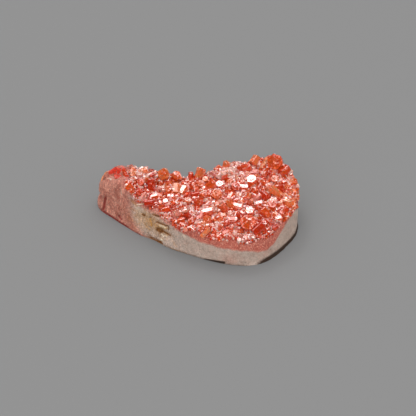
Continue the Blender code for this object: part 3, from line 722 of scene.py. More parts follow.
def ground_stone_material(name, scene, crust):
    """Host rock, a fine pale baryte and limestone mix, ground flat on a wheel: matte and sugary,
    with a layer of brick pink vanadinite grains at the top, and stained pink and ochre. Painted
    shadow darkens its foot, some holes and the notch, painted highlights and a painted glint are
    laid on with the light chips, and a painted orange glow marks the thin rim. The crust's own top is
    deep red between its crystals, with painted shade there."""
    rock, bed = scene.druse_rock, scene.druse_bed
    material, tree, output, coordinates = new_material(name)
    stains, marks, worn = (
        add_node(tree, "ShaderNodeSeparateColor", {"Color": mask}).outputs
        for mask in [
            add_node(tree, "ShaderNodeAttribute", attribute_name=name) for name in ("stains", "marks", "worn")
        ]
    )
    upright = add_node(tree, "ShaderNodeMapping", {"Vector": coordinates, "Scale": (1.0, 1.0, 0.3)})
    # clouds, ragged edges, sugary grain and grinding streaks, each with its size in mm
    cloud, ragged, sugar, streaks = (
        add_node(
            tree,
            "ShaderNodeTexNoise",
            {"Vector": where, "Scale": 1000 / size, "Detail": detail, "Roughness": rough},
        )
        for where, size, detail, rough in (
            (coordinates, 1.3, 6.0, 0.75),
            (coordinates, 0.6, 5.0, 0.8),
            (coordinates, 0.24, 2.0, 0.8),
            (upright, 0.42, 3.0, 0.7),
        )
    )

    def laid_over(under, over, value, low=0.0, high=1.0, times=0.0):
        """One colour over another as a value goes from low to high, with an edge as ragged as the
        noise is counted times."""
        if times:
            inputs = {0: ragged, 1: times, 2: value}
            value = add_node(tree, "ShaderNodeMath", inputs, operation="MULTIPLY_ADD")
        share = add_node(tree, "ShaderNodeMapRange", {"Value": value, "From Min": low, "From Max": high})
        return add_node(tree, "ShaderNodeMix", {0: share, 6: under, 7: over}, data_type="RGBA").outputs[2]

    colour = laid_over(rock.rock_dark, rock.rock_colour, cloud, 0.34, 0.66)
    pink_end = laid_over(rock.end_dark, rock.end_colour, cloud, 0.36, 0.62)
    colour = laid_over(colour, pink_end, stains["Green"], 0.45, 1.25, 0.9)
    layer = laid_over(bed.band_dark, bed.band_colour, ragged, 0.4, 0.62)
    layer = laid_over(layer, bed.band_light, sugar, 0.52, 0.72)
    colour = laid_over(colour, layer, stains["Red"], 0.4, 1.1, 0.5)
    colour = laid_over(colour, rock.ochre_colour, stains["Blue"], 0.72, 1.5, 1.1)
    # light chips, with painted highlights on worn crystal tops and a painted glint at the crust's edge
    colour = laid_over(colour, rock.chip_and_highlight_colour, marks["Blue"], 0.5, 1.2, 0.5)
    # dark marks: pits, cracks and holes, with painted contact shadow along the foot, painted shadow under the
    # crust's edge and the overhang, and painted shade in the notch
    dark = laid_over(rock.crack_and_shadow_colour, rock.hole_and_shadow_colour, worn["Blue"])
    dark = laid_over(dark, rock.pit_and_shadow_colour, stains["Green"], 0.3, 0.7)
    colour = laid_over(colour, dark, marks["Red"], 0.5, 1.15, 0.6)
    colour = laid_over(colour, bed.worn_colour, worn["Red"], 0.6, 0.95, 0.5)
    # painted glow, where light comes through the thin rim
    colour = laid_over(colour, bed.painted_glow_colour, worn["Green"])
    if crust:
        # the crust's top between the crystals: its own red with painted shade
        shaded_gaps = laid_over(bed.gap_shade_colour, bed.band_dark, sugar, 0.4, 0.65)
        colour = laid_over(colour, shaded_gaps, marks["Green"])
    grains = add_node(tree, "ShaderNodeMath", {0: streaks, 1: 0.5, 2: sugar}, operation="MULTIPLY_ADD")
    # the speckle is faint at the wide end and strong at the narrow end
    faint, strong, rough = (
        add_node(
            tree,
            "ShaderNodeMapRange",
            {"Value": value, "From Min": low, "From Max": high, "To Min": least, "To Max": most},
        )
        for value, low, high, least, most in (
            (grains, 0.5, 1.0, 0.72, 1.28),
            (grains, 0.5, 1.0, 0.45, 1.52),
            (sugar, 0.3, 0.7, 0.42, 0.68),
        )
    )
    speckle = laid_over(faint, strong, worn["Blue"])
    speckled = add_node(
        tree, "ShaderNodeMix", {0: 1.0, 6: colour, 7: speckle}, data_type="RGBA", blend_type="MULTIPLY"
    )
    relief = add_node(tree, "ShaderNodeBump", {"Height": sugar, "Strength": 0.5, "Distance": 0.00008})
    shader = add_node(
        tree,
        "ShaderNodeBsdfPrincipled",
        {
            "Base Color": speckled.outputs[2],
            "Roughness": rough,
            "IOR": 1.62,
            "Normal": relief,
            "Subsurface Weight": 0.12,
            "Subsurface Radius": (1.0, 0.6, 0.5),
            "Subsurface Scale": 0.0003,
        },
    )
    tree.links.new(shader.outputs[0], output.inputs["Surface"])
    return material


def vanadinite_material(name, settings, ripple):
    """Vanadinite crystal: adamantine, so a clean face throws back a sixth of the light, over a
    body that light goes into and comes out of again orange red from growth zones and cracks."""
    material, tree, output, coordinates = new_material(name)
    tone, wear, frost, uneven = (
        add_node(tree, "ShaderNodeAttribute", attribute_name=mask).outputs["Fac"]
        for mask in ("tone", "wear", "frost", "uneven")
    )
    # growth zones and steps, about half a millimetre across: the real ones are finer, and wouldn't
    # show from so far
    zones, growth = (
        add_node(
            tree,
            "ShaderNodeTexNoise",
            {"Vector": coordinates, "Scale": 1000 / size, "Detail": detail, "Roughness": rough},
        )
        for size, detail, rough in ((0.5263, 4.0, 0.65), (0.5882, 3.0, 0.5))
    )
    toned = add_node(tree, "ShaderNodeMath", {0: zones, 1: 1.5, 2: tone}, operation="MULTIPLY_ADD")
    # how pale the body is, the cracks that light it up, and how rough and how clear the faces are
    pale, lit, rough, clear = (
        add_node(
            tree,
            "ShaderNodeMapRange",
            {"Value": value, "From Min": low, "From Max": high, "To Min": start, "To Max": end},
        )
        for value, low, high, start, end in (
            (toned, 0.55, 2.0, 0.0, 1.0),
            (zones, 0.5, 0.68, 0.0, 0.6),
            (wear, 0.0, 1.0, 0.2, 0.5),
            (wear, 0.0, 1.0, 1.0, 0.15),
        )
    )
    body = add_node(tree, "ShaderNodeValToRGB", {"Fac": pale})
    stops = (
        (0.0, settings.wine_colour),
        (0.35, settings.red_colour),
        (0.65, settings.flame_colour),
        (1.0, settings.peach_colour),
    )
    while len(body.color_ramp.elements) < len(stops):
        body.color_ramp.elements.new(0.5)
    for element, (place, colour) in zip(body.color_ramp.elements, stops):
        element.position = place
        element.color = (*colour, 1.0)
    # pale pink where the crystals are sugary, which also paints sheen on them
    frost_and_sheen_mix = add_node(
        tree, "ShaderNodeMix", {0: frost, 6: body, 7: settings.frost_and_sheen_colour}, data_type="RGBA"
    )
    wavy = add_node(
        tree, "ShaderNodeBump", {"Height": growth, "Strength": 0.5 * ripple, "Distance": 0.00004}
    )

    def facets(size_mm, most):
        """The normal of small flat facets, each turned its own way."""
        reach = add_node(tree, "ShaderNodeMath", {0: uneven, 1: most}, operation="MULTIPLY")
        cells = add_node(tree, "ShaderNodeTexVoronoi", {"Vector": coordinates, "Scale": 1000 / size_mm})
        turned = cells.outputs["Color"]
        for how, inputs in (
            ("SUBTRACT", {1: (0.5, 0.5, 0.5)}),
            ("MULTIPLY_ADD", {1: reach, 2: wavy}),
            ("NORMALIZE", {}),
        ):
            turned = add_node(tree, "ShaderNodeVectorMath", {0: turned, **inputs}, operation=how)
        return turned

    shader = add_node(
        tree,
        "ShaderNodeBsdfPrincipled",
        {
            "Base Color": frost_and_sheen_mix.outputs[2],
            "Metallic": lit,
            "Roughness": rough,
            "IOR": 1.5,
            "Normal": facets(0.4, 1.0),
            "Subsurface Weight": 0.2,
            "Subsurface Radius": (1.0, 0.22, 0.06),
            "Subsurface Scale": 0.00035,
            "Coat Weight": clear,
            "Coat Roughness": 0.06,
            "Coat IOR": 2.35,
            "Coat Normal": facets(settings.facet / MM, settings.facet_turn),
        },
    )
    tree.links.new(shader.outputs[0], output.inputs["Surface"])
    return material


def floor_material(settings):
    """Matte paper under the stone, plain and pale."""
    material, tree, output, _ = new_material("matte_paper")
    shader = add_node(
        tree,
        "ShaderNodeBsdfPrincipled",
        {
            "Base Color": settings.floor_colour,
            "Roughness": 0.95,
            "Specular IOR Level": 0.0,
            "Emission Color": (1.0, 1.0, 1.0, 1.0),
            "Emission Strength": settings.floor_glow,
        },
    )
    tree.links.new(shader.outputs[0], output.inputs["Surface"])
    return material


# Settings that a user would change


def colour_setting(name, description, hex_colour):
    return FloatVectorProperty(
        name=name, description=description, subtype="COLOR", min=0, max=1, default=shade(hex_colour)
    )


def size_setting(name, description, default, least, most):
    """A length in metres."""
    return FloatProperty(
        name=name, description=description, default=default, min=least, max=most,
        subtype="DISTANCE", unit="LENGTH",
    )


def plain_setting(name, description, default, most):
    return FloatProperty(name=name, description=description, default=default, min=0, max=most)


class RockSettings(bpy.types.PropertyGroup):
    rock_colour: colour_setting("Rock", "Pale body of the host rock", "#C8B2A4")
    rock_dark: colour_setting("Rock clouds", "Greyer clouds in the host rock", "#B0988A")
    ochre_colour: colour_setting("Ochre", "Iron stain on the broken patch", "#B8823E")
    end_colour: colour_setting("Pink end", "Vanadinite dust ground into the narrow end", "#CC8A76")
    end_dark: colour_setting("Pink end clouds", "Browner clouds at the narrow end", "#98503F")
    # fresh chips, and painted highlights on worn crystal tops and a painted glint at the crust's edge
    chip_and_highlight_colour: colour_setting("Chips", "Fresh chips of the rock", "#E4D2B8")
    # painted contact shadow along the foot of the wider half, and dark cracks there
    crack_and_shadow_colour: colour_setting("Foot", "Dirt in the foot of the slab", "#3C2618")
    # iron stained holes, and painted shadow under the overhang, under the crust's edge and along the foot
    hole_and_shadow_colour: colour_setting("Ochre holes", "Deep iron stain", "#84501A")
    # dark red pits, and painted shade in the notch and along the foot of the pink end
    pit_and_shadow_colour: colour_setting("Pits", "Dark red in notches and pits", "#8E2E22")
    roughness: size_setting("Tool marks", "Height of the grinding marks", 0.000028, 0, 0.0002)


class BedSettings(bpy.types.PropertyGroup):
    band_colour: colour_setting("Band", "Pink body of the layer on the sides", "#D07260")
    band_dark: colour_setting("Band clouds", "Brick red clouds in the layer", "#BC5442")
    band_light: colour_setting("Band grains", "Pale grains in the layer", "#E0A890")
    worn_colour: colour_setting("Worn crystals", "Crystals ground flush at the narrow end", "#D02A04")
    # painted shade between the crystals, over the crust's own red
    gap_shade_colour: colour_setting("Gaps", "Deep red between the crystals", "#8A1C0C")
    # painted glow, where light comes through the thin rim
    painted_glow_colour: colour_setting("Thin rim", "Orange where the rim is thin", "#EE8A44")


class CrystalSettings(bpy.types.PropertyGroup):
    wine_colour: colour_setting("Darkest", "Thick crystals", "#BA2206")
    red_colour: colour_setting("Red", "Most crystals", "#D63C0E")
    flame_colour: colour_setting("Orange red", "Clear crystals", "#E65A1E")
    peach_colour: colour_setting("Palest", "Thin crystals", "#F29A6C")
    # the pale pink of sugary crystals, also used as painted sheen
    frost_and_sheen_colour: colour_setting("Frost", "Sugary areas of the tiniest crystals", "#F8C4B8")
    chamfer: size_setting("Edge", "Width of the worn edges", 0.000045, 0, 0.0001)
    facet: size_setting("Facet", "Size of the facets that a face is broken into", 0.00025, 0.00005, 0.002)
    facet_turn: plain_setting("Facet turn", "How far the facets are turned from their face", 0.4, 2)
    small_apart: size_setting(
        "Small crystal spacing", "Least distance between small crystals", 0.00044, 0.0001, 0.002
    )
    small_across: size_setting(
        "Small crystal width", "Width across flats of a middling small crystal", 0.00056, 0.0001, 0.002
    )
    grain_apart: size_setting(
        "Grain spacing", "Least distance between the finest crystals", 0.00026, 0.0001, 0.001
    )
    grain_across: size_setting(
        "Grain width", "Width across flats of a middling fine crystal", 0.00032, 0.00005, 0.001
    )
    seed: IntProperty(name="Seed", description="Changes where the small crystals are", default=5, min=0)


class StageSettings(bpy.types.PropertyGroup):
    floor_colour: colour_setting("Floor", "Paper under the stone", "#797979")
    floor_glow: plain_setting("Floor glow", "Light that comes through the paper from below", 0.05, 1)
    surround: plain_setting("Surround", "Light from all round", 0.8, 5)
    key: plain_setting("Key light", "Brightness of the small soft box", 6.0, 50)
    back: plain_setting("Back light", "Brightness of the long soft box behind", 4.2, 50)
    top: plain_setting("Top light", "Brightness of the wide soft box", 1.9, 50)
    over: plain_setting("Overhead light", "Brightness of the fill from above", 0.9, 50)
    side: plain_setting("Side light", "Brightness of the soft box at the right", 0.9, 50)
    front: plain_setting("Front light", "Brightness of the front soft box", 1.7, 50)


# Pieces


class DRUSE_OT_add_rock(bpy.types.Operator):
    """Build the slab of ground host rock"""

    bl_idname = "druse.add_rock"
    bl_label = "Host Rock"

    def execute(self, context):
        settings = context.scene.druse_rock
        points, inward = outline_points(FINE_STEPS)
        top = rock_top(points[:, 0], points[:, 1]) + SEAM
        shares = np.concatenate([np.linspace(0, 0.14, 9), np.linspace(0.17, 1.0, 38)])
        rings = [shown_ring(points, inward, share * top, settings) for share in shares]
        under = inner_points(rings[0][:, :2], spacing=0.9, clear=0.3)
        under = np.column_stack([under, np.zeros(len(under))])
        inside = inner_points(rings[-1][:, :2], spacing=2.6, clear=1.2)
        inside = np.column_stack([inside, rock_top(inside[:, 0], inside[:, 1]) + SEAM - 0.05])
        slab = layered_mesh("ground_rock", rings, under, inside)
        paint_stains(slab)
        slab.data.materials.append(ground_stone_material("ground_host_rock", context.scene, False))
        finish_piece(slab, "matrix")
        return {"FINISHED"}


def worn_share(x):
    """1 at the narrow end, where the crystals are ground away."""
    return step_up(-x, 12.0, 14.0)


def shown_ring(points, inward, z, settings):
    """A ring of the side as it is shown: its top edge rounded over, chipped and finely rough."""
    ring = wall_ring(points, inward, z)
    x, y = points[:, 0], points[:, 1]
    top = crust_top(x, y)
    worn = worn_share(x)
    radius = EDGE_ROUND + (WORN_ROUND - EDGE_ROUND) * worn * (0.35 + 0.65 * step_up(-y, -6.6, -4.0))
    turned = np.clip((z - top + radius) / radius, 0, 1) * math.pi / 2
    depth = radius * (1 - np.cos(turned))
    ring[:, 2] = np.where(turned > 0, top - radius + radius * np.sin(turned), z)
    x, y, z = ring.T
    front = np.where(y < 0.5, 1.0, 0.0)
    rough = 1.0 + 2.6 * bump(x + 7.4, 2.8) * front + 1.4 * worn_share(x - 1.5)
    rough += 1.2 * step_up(z - band_low(x, y), -0.1, 0.4)
    marks = grain(ring, 0.34) + 0.7 * grain(ring, 0.16, 3.0)
    depth += rough * settings.roughness / MM * marks + 0.05 * grain(ring, 1.2, 9.0)
    depth += chips(ring)
    corner = bump(np.hypot(x - SHOULDER_X, y - SHOULDER_Y), SHOULDER_REACH)
    depth += SHOULDER * corner * (z / top) ** 3
    # a dark lip at the foot of the wide end, that stands for its contact shadow
    foot = np.maximum(0.0, 1 - z / SHADOW_FOOT_HIGH) ** 1.5
    depth -= SHADOW_FOOT_FLARE * bump(x - SHADOW_FOOT_X, SHADOW_FOOT_REACH) * step_up(-y, -3.0, 0.0) * foot
    # the base stays flat, and its edge is nicked where a flake came off
    nick = 0.45 * step_up(-x, 6.2, 6.6) * step_up(x, -10.5, -8.5) * step_up(-z, -0.95, -0.55)
    depth += nick * front
    ring[:, :2] += inward * np.where(z > 0.04, depth, 0.3 * depth)[:, None]
    # the tight turn at the narrow end is eased, so that the side doesn't fold over itself
    ease = 0.5 * worn * step_up(turned, 0.0, 0.5)
    for _ in range(EASE_PASSES):
        middle = 0.5 * (np.roll(ring[:, :2], 1, axis=0) + np.roll(ring[:, :2], -1, axis=0))
        ring[:, :2] += ease[:, None] * (middle - ring[:, :2])
    return ring


def near_mark(column, row, mark):
    """How near each place in the frame is to a mark, from 1 on it to 0."""
    left, top, right, bottom, reach = mark
    across, down = right - left, bottom - top
    along = (column - left) * across + (row - top) * down
    along = np.clip(along / max(1e-9, across**2 + down**2), 0, 1)
    return bump(np.hypot(column - left - along * across, row - top - along * down), reach)


def seen_marks(points, *kinds):
    """How strongly each point is covered by the marks of some kinds."""
    column, row = seen_at(points)
    total = np.zeros(len(points))
    for kind, *mark, strength, _ in SIDE_MARKS:
        if kind in kinds:
            total = np.maximum(total, strength * near_mark(column, row, mark))
    return total * faces_eye(points)


def chips(points):
    """How deep the broken ochre patch, grooves and pits go, in mm, over the front of the slab."""
    column, row = seen_at(points)
    deep = sum(deepest * near_mark(column, row, mark) for _, *mark, _, deepest in SIDE_MARKS)
    return deep * faces_eye(points)


def faces_eye(points):
    """1 on the front half of the side, 0 behind."""
    x, y, _ = points.T
    return np.clip(step_up(-y, -1.5, -0.5) + worn_share(x) * step_up(-y, -8.4, -7.6), 0, 1)


def band_low(x, y):
    """Where the pink layer starts on the side."""
    return rock_top(x, y) + SEAM


def paint_stains(made):
    """Stores where the stone is stained and where light and shade are painted on it: "stains" holds
    the pink layer, the pink end and ochre, "marks" holds dark pits, cracks and holes with painted
    shadow along the foot, under the crust's edge and in the notch, the bared crystal top that the bed
    paints with the shade between its crystals, and light chips with painted highlights, and "worn"
    holds ground crystals, the thin rim's painted glow and how near the narrow end is."""
    points = places(made)
    x, y, z = points.T
    front = np.clip(step_up(-y, -1.5, 0.5) + worn_share(x) * step_up(-y, -6.5, -4.5), 0, 1)
    top = crust_top(x, y)
    low = band_low(x, y)

    wander = 0.07 * np.sin(1.9 * x + 0.7) + 0.05 * np.sin(4.3 * x)
    seen_low = np.interp(x, *zip(*LAYER_FOOT))
    seen = np.where(x > 8, step_up(-y, -4.5, -1.5), np.where(y < 0, 1.0, 0.0))
    shown_low = low + (seen_low - low) * seen
    soft = 0.48 + 0.36 * step_up(-x, 2.5, 5.5)
    layer = step_up((z - shown_low + wander) / soft, -1, 1)
    layer *= np.where(y < 0, 0.75 + 0.25 * step_up(x, -5.2, -2.8), 0.9)
    layer *= 1 - 0.55 * worn_share(x)

    end = step_up(-x - 0.45 * np.minimum(z, 4.0) + 0.3 * np.sin(1.7 * z), 8.8, 12.2)
    blush = spotted(x, z, 0.0, BLUSH_SPOTS)
    foot = 0.35 * bump(z, 0.6) * step_up(-x, 7.0, 10.0)
    end = np.clip(np.maximum(end + blush + foot, seen_marks(points, "rose")), 0, 1)

    patch = spotted(x, z, 0.0, RUST_SPOTS)
    rust = (patch + spotted(x, z, 0.0, RUST_HALO) * (1 - patch)) * front
    ochre = np.clip(np.maximum(rust, seen_marks(points, "ochre")), 0, 1)

    # dark holes, cracks and maroon marks, some of them painted shadow
    dark = seen_marks(points, "hole", "crack", "maroon")
    # painted contact shadow along the foot: at the narrow end, as a dark crescent at the wide end, and along
    # the front
    dark = dark + 0.3 * bump(z, 0.35) * step_up(-x, 10.0, 12.5) * front
    dark = dark + 1.4 * bump(z, 0.6) * step_up(x, 9.0, 12.5) * step_up(-y, -3.0, 0.0)
    dark = dark + 0.5 * bump(z, 0.5) * front * step_up(-x, -10.0, -8.0)
    # painted shade in the notch
    notch = 0.8 * bump(np.hypot(np.hypot(x - NOTCH_X, y - NOTCH_Y), 1.2 * (z - NOTCH_Z)), 0.9)
    # the bared crystal top, painted on the bed with the shade between its crystals
    bare = step_up(top - z, 0.32, 0.05) * (1 - worn_share(x))
    bare = np.where(top - z < 0.05, 1 - worn_share(x), bare) * (1 - step_up(low - z, 0, 0.1))
    # light chips, with painted highlights and a painted glint
    light = seen_marks(points, "pale") * front

    red = seen_marks(points, "worn") * step_up(-x, 11.6, 12.4)
    # painted glow, where light comes through the thin rim
    glow = seen_marks(points, "glow") * bump(np.maximum(top - z - 0.8, 0), 0.6)
    paint(made, "stains", (np.clip(layer, 0, 1), end, ochre))
    paint(made, "marks", (np.clip(dark + notch, 0, 1), bare, np.clip(light, 0, 1)))
    paint(made, "worn", (red, glow, step_up(-x, -3.0, 7.0)))


class DRUSE_OT_add_bed(bpy.types.Operator):
    """Build the layer that the crystals grew from"""

    bl_idname = "druse.add_bed"
    bl_label = "Crystal Bed"

    def execute(self, context):
        settings = context.scene.druse_rock
        points, inward = outline_points(FINE_STEPS)
        low = band_low(points[:, 0], points[:, 1])
        thick = crust_top(points[:, 0], points[:, 1]) - low
        shares = np.linspace(0, 1, 15)
        rings = [shown_ring(points, inward, low + share * thick, settings) for share in shares]
        rim = rings[-1][:, :2]
        inside = inner_points(rim, spacing=0.36, clear=0.2)
        x, y = inside.T
        rough = grain(np.column_stack([inside, np.zeros(len(inside))]), 0.6, 5.0)
        lumps = rough * (0.12 - 0.06 * worn_share(x))
        stumps = bump(np.hypot(x - DOME_X, 0.8 * (y - DOME_Y)), DOME_REACH)
        from_rim = np.array([rim_distance(rim, *place) for place in inside])
        lumps += DOME_RISE * stumps * step_up(from_rim, 0.1, 1.3)
        inside = np.column_stack([inside, crust_top(x, y) + lumps])
        under = inner_points(rings[0][:, :2], spacing=2.6, clear=1.2)
        under = np.column_stack([under, rock_top(under[:, 0], under[:, 1]) + SEAM - 0.1])
        bed = layered_mesh("crystal_bed", rings, under, inside)
        paint_stains(bed)
        bed.data.materials.append(ground_stone_material("vanadinite_bed", context.scene, True))
        finish_piece(bed, "vanadinite_crust")
        return {"FINISHED"}


class DRUSE_OT_add_crystals(bpy.types.Operator):
    """Build the larger crystals, each with worn edges and the blocks that it grew from"""

    bl_idname = "druse.add_crystals"
    bl_label = "Crystals"

    def execute(self, context):
        settings = context.scene.druse_crystals
        rng = random.Random(CRYSTAL_SEED)
        vertices, faces = [], []
        masks = {"tone": [], "wear": [], "uneven": [], "frost": []}
        for number, (centre, across, long, turn, tone) in enumerate(placed_crystals()):
            chosen = number < len(MAIN_CRYSTALS)
            column, row = (float(v[0]) for v in seen_at(np.array([centre])))
            tone += 0.6 * float(tone_shift(column, row))
            # some scattered crystals are sugary, which also paints sheen on them
            sugary = not chosen and rng.random() <= float(frost_and_sheen_share(column, row))
            # a face that throws the key light at the camera is a clean one
            mirror = max(abs(turn.col[k].dot(KEY_MIRROR)) for k in (0, 2))
            clean = mirror > math.cos(math.radians(CLEAN_TURN))
            on_end = abs(turn.col[2].z) > 0.6
            tilt_most = CLEAN_TILT if clean else MAIN_TILT if chosen and not on_end else BLOCK_TILT
            facets = (0.2 if clean else 0.9 if on_end else 0.5) if chosen else 1.15
            whole = 1.0 if chosen else BODY_SHARE
            body = prism(across * whole, long * whole, settings.chamfer / MM, rng)
            worn = float(step_up(-centre.x, 13.2, 14.0))
            inwards = WORN_IN * worn * float(step_up(centre.y, 7.4, 8.0))
            centre = centre - Vector((0, inwards, WORN_DOWN * worn))
            pieces = [(body, Matrix.Identity(3), Vector((0, 0, 0)))]
            for width, length, tilt, aside in growth_blocks(across, long, tilt_most, rng):
                corners, sides = plain_prism()
                block = [Vector((c.x * width, c.y * width, c.z * length)) for c in corners]
                pieces.append(((block, sides), tilt, aside))
            for (corners, sides), tilt, aside in pieces:
                first = len(vertices)
                vertices += [centre + turn @ (aside + tilt @ corner) for corner in corners]
                faces += [tuple(first + i for i in face) for face in sides]
                shown = {
                    "tone": min(1.0, max(0.0, tone + rng.uniform(-0.16, 0.16))),
                    "wear": worn,
                    "uneven": facets,
                    "frost": 0.35 if sugary else 0.0,
                }
                for name, value in shown.items():
                    masks[name] += [value] * len(corners)
        made = new_object("crystals", vertices, faces)
        store(made, masks)
        made.data.materials.append(vanadinite_material("vanadinite_crystal", settings, 1.0))
        finish_piece(made, "vanadinite_crust")
        return {"FINISHED"}


def growth_blocks(across, long, steepest, rng):
    """The blocks that a crystal grew from, each turned by some degrees and a little proud of it, as
    (width, length, rotation, place)."""
    blocks = []
    count = round(1 + 4.0 * across + 1.2 * across**2 + rng.uniform(-0.5, 1.5))
    for _ in range(count):
        at_end = rng.random() < 0.5
        width = min(1.3, across * rng.uniform(0.32, 0.66))
        angle = rng.uniform(0, 2 * math.pi)
        if at_end:
            reach = (across - width) * 0.5 * rng.uniform(0.1, 1.0)
            length = long + 2 * rng.uniform(-0.03, 0.04 + 0.06 * across)
            rise = 0.0
        else:
            angle = math.radians(60 * rng.randrange(6))
            reach = across / 2 - width / 2 + rng.uniform(0.0, 0.1)
            length = long * rng.uniform(0.25, 0.8)
            rise = (long - length) * rng.uniform(-0.5, 0.5)
        aside = Vector((math.cos(angle) * reach, math.sin(angle) * reach, rise))
        lean = Vector((rng.gauss(0, 1), rng.gauss(0, 1), 0.0))
        most = steepest * (0.7 + 0.4 * across)
        tilt = Matrix.Rotation(math.radians(rng.uniform(1.5, most)), 3, lean.normalized())
        blocks.append((width, length, tilt, aside))
    return blocks


def prism(across, long, chamfer, rng):
    """Corners and faces of a hexagonal prism with narrow chamfers on all edges, in mm."""
    radius = across * ACROSS_TO_CORNER
    cut = min(chamfer * rng.uniform(0.7, 1.6), 0.12 * across)
    spread = cut / radius
    uneven = [1.0 + rng.uniform(-0.07, 0.03) for _ in range(6)]
    half = long / 2
    levels = ((radius - cut, -half), (radius, -half + cut), (radius, half - cut), (radius - cut, half))
    corners = []
    for size, height in levels:
        for k in range(6):
            for side in (-1, 1):
                angle = math.radians(60 * k + 30) + side * spread
                reach = size * uneven[k]
                corners.append(Vector((reach * math.cos(angle), reach * math.sin(angle), height)))
    return corners, side_faces(4, 12) + [tuple(range(11, -1, -1)), tuple(range(36, 48))]


def plain_prism():
    """A hexagonal prism 1 m across and long, with one worn end, for what is repeated most."""
    corners = []
    for size, height in ((0.577, -0.5), (0.577, 0.42), (0.49, 0.5)):
        for k in range(6):
            angle = math.radians(60 * k + 30)
            corners.append(Vector((size * math.cos(angle), size * math.sin(angle), height)))
    return corners, side_faces(3, 6) + [tuple(range(5, -1, -1)), tuple(range(12, 18))]


def scatter_tree(name, material):
    """Geometry nodes that cover a surface with instances of a crystal, then make them real."""
    tree = bpy.data.node_groups.new(name, "GeometryNodeTree")
    kinds = {"Geometry": "Geometry", "Crystal": "Object", "Seed": "Int"}
    for label in ("Geometry", "Crystal", "Apart", "Across", "Lean", "Rise", "Seed"):
        kind = "NodeSocket" + kinds.get(label, "Float")
        tree.interface.new_socket(label, in_out="INPUT", socket_type=kind)
    tree.interface.new_socket("Geometry", in_out="OUTPUT", socket_type="NodeSocketGeometry")
    given = add_node(tree, "NodeGroupInput").outputs
    cover, zone, frost = (
        add_node(tree, "GeometryNodeInputNamedAttribute", {"Name": mask}, data_type="FLOAT")
        for mask in ("cover", "zone", "frost")
    )
    scattered = add_node(
        tree,
        "GeometryNodeDistributePointsOnFaces",
        {
            "Mesh": given["Geometry"],
            "Distance Min": given["Apart"],
            "Density Max": DENSEST,
            "Density Factor": cover,
            "Seed": given["Seed"],
        },
        distribute_method="POISSON",
    )

    def chance(low, high, offset):
        """A random number, or three where the bounds are three, with a seed of its own."""
        seed = add_node(tree, "ShaderNodeMath", {0: given["Seed"], 1: offset}, operation="ADD")
        kind, first, shown = ("FLOAT_VECTOR", 0, 0) if isinstance(low, tuple) else ("FLOAT", 2, 1)
        inputs = {first: low, first + 1: high, "Seed": seed}
        return add_node(tree, "FunctionNodeRandomValue", inputs, data_type=kind).outputs[shown]

    leaning = add_node(
        tree, "ShaderNodeSeparateXYZ", {0: chance((-1.0, -1.0, 0.0), (1.0, 1.0, 2 * math.pi), 1.0)}
    ).outputs
    tip_x, tip_y = (
        add_node(tree, "ShaderNodeMath", {0: leaning[k], 1: given["Lean"]}, operation="MULTIPLY")
        for k in (0, 1)
    )
    tipped = add_node(tree, "ShaderNodeCombineXYZ", {0: tip_x, 1: tip_y, 2: leaning[2]})
    # a crystal is smaller where they are sparse
    full = add_node(tree, "ShaderNodeMapRange", {"Value": cover, "To Min": 0.45, "To Max": 1.0})
    size = chance(0.62, 1.45, 2.0)
    sizes = []
    for factor in (given["Across"], full, chance(0.5, 2.0, 3.0)):
        size = add_node(tree, "ShaderNodeMath", {0: size, 1: factor}, operation="MULTIPLY")
        sizes.append(size)
    scale = add_node(tree, "ShaderNodeCombineXYZ", {0: sizes[1], 1: sizes[1], 2: sizes[2]})
    shape = add_node(tree, "GeometryNodeObjectInfo", {"Object": given["Crystal"], "As Instance": True})
    placed = add_node(
        tree,
        "GeometryNodeInstanceOnPoints",
        {
            "Points": scattered.outputs["Points"],
            "Instance": shape.outputs["Geometry"],
            "Rotation": scattered.outputs["Rotation"],
            "Scale": scale,
        },
    )
    turned = add_node(tree, "GeometryNodeRotateInstances", {"Instances": placed, "Rotation": tipped})
    rise = add_node(
        tree, "ShaderNodeMath", {0: chance(-0.3, 1.0, 4.0), 1: given["Rise"]}, operation="MULTIPLY"
    )
    up = add_node(tree, "ShaderNodeCombineXYZ", {2: rise})
    made = add_node(
        tree, "GeometryNodeTranslateInstances", {"Instances": turned, "Translation": up, "Local Space": False}
    )
    tone = add_node(tree, "ShaderNodeMath", {0: chance(0.0, 0.7, 5.0), 1: zone}, operation="ADD")
    # sugary crystals and painted sheen, in patches
    frost_and_sheen_left = add_node(tree, "ShaderNodeMath", {0: frost, 1: chance(0.0, 1.0, 6.0)}, operation="SUBTRACT")
    patchy = add_node(
        tree,
        "ShaderNodeMapRange",
        {"Value": frost_and_sheen_left, "From Min": -0.08, "From Max": 0.12, "To Min": 0.0, "To Max": 0.9},
    )
    for mask, value in (("tone", tone), ("frost", patchy), ("uneven", chance(0.15, 1.3, 7.0))):
        made = add_node(
            tree,
            "GeometryNodeStoreNamedAttribute",
            {"Geometry": made, "Name": mask, "Value": value},
            data_type="FLOAT",
            domain="INSTANCE",
        )
    made = add_node(tree, "GeometryNodeRealizeInstances", {"Geometry": made})
    made = add_node(tree, "GeometryNodeSetMaterial", {"Geometry": made, "Material": material})
    add_node(tree, "NodeGroupOutput", {"Geometry": made})
    return tree


def set_input(modifier, label, value):
    """Sets a modifier's input by the identifier of the socket with that label."""
    for socket in modifier.node_group.interface.items_tree:
        if socket.in_out == "INPUT" and socket.name == label:
            modifier[socket.identifier] = value
            return
    raise ValueError(f"no input called {label}")


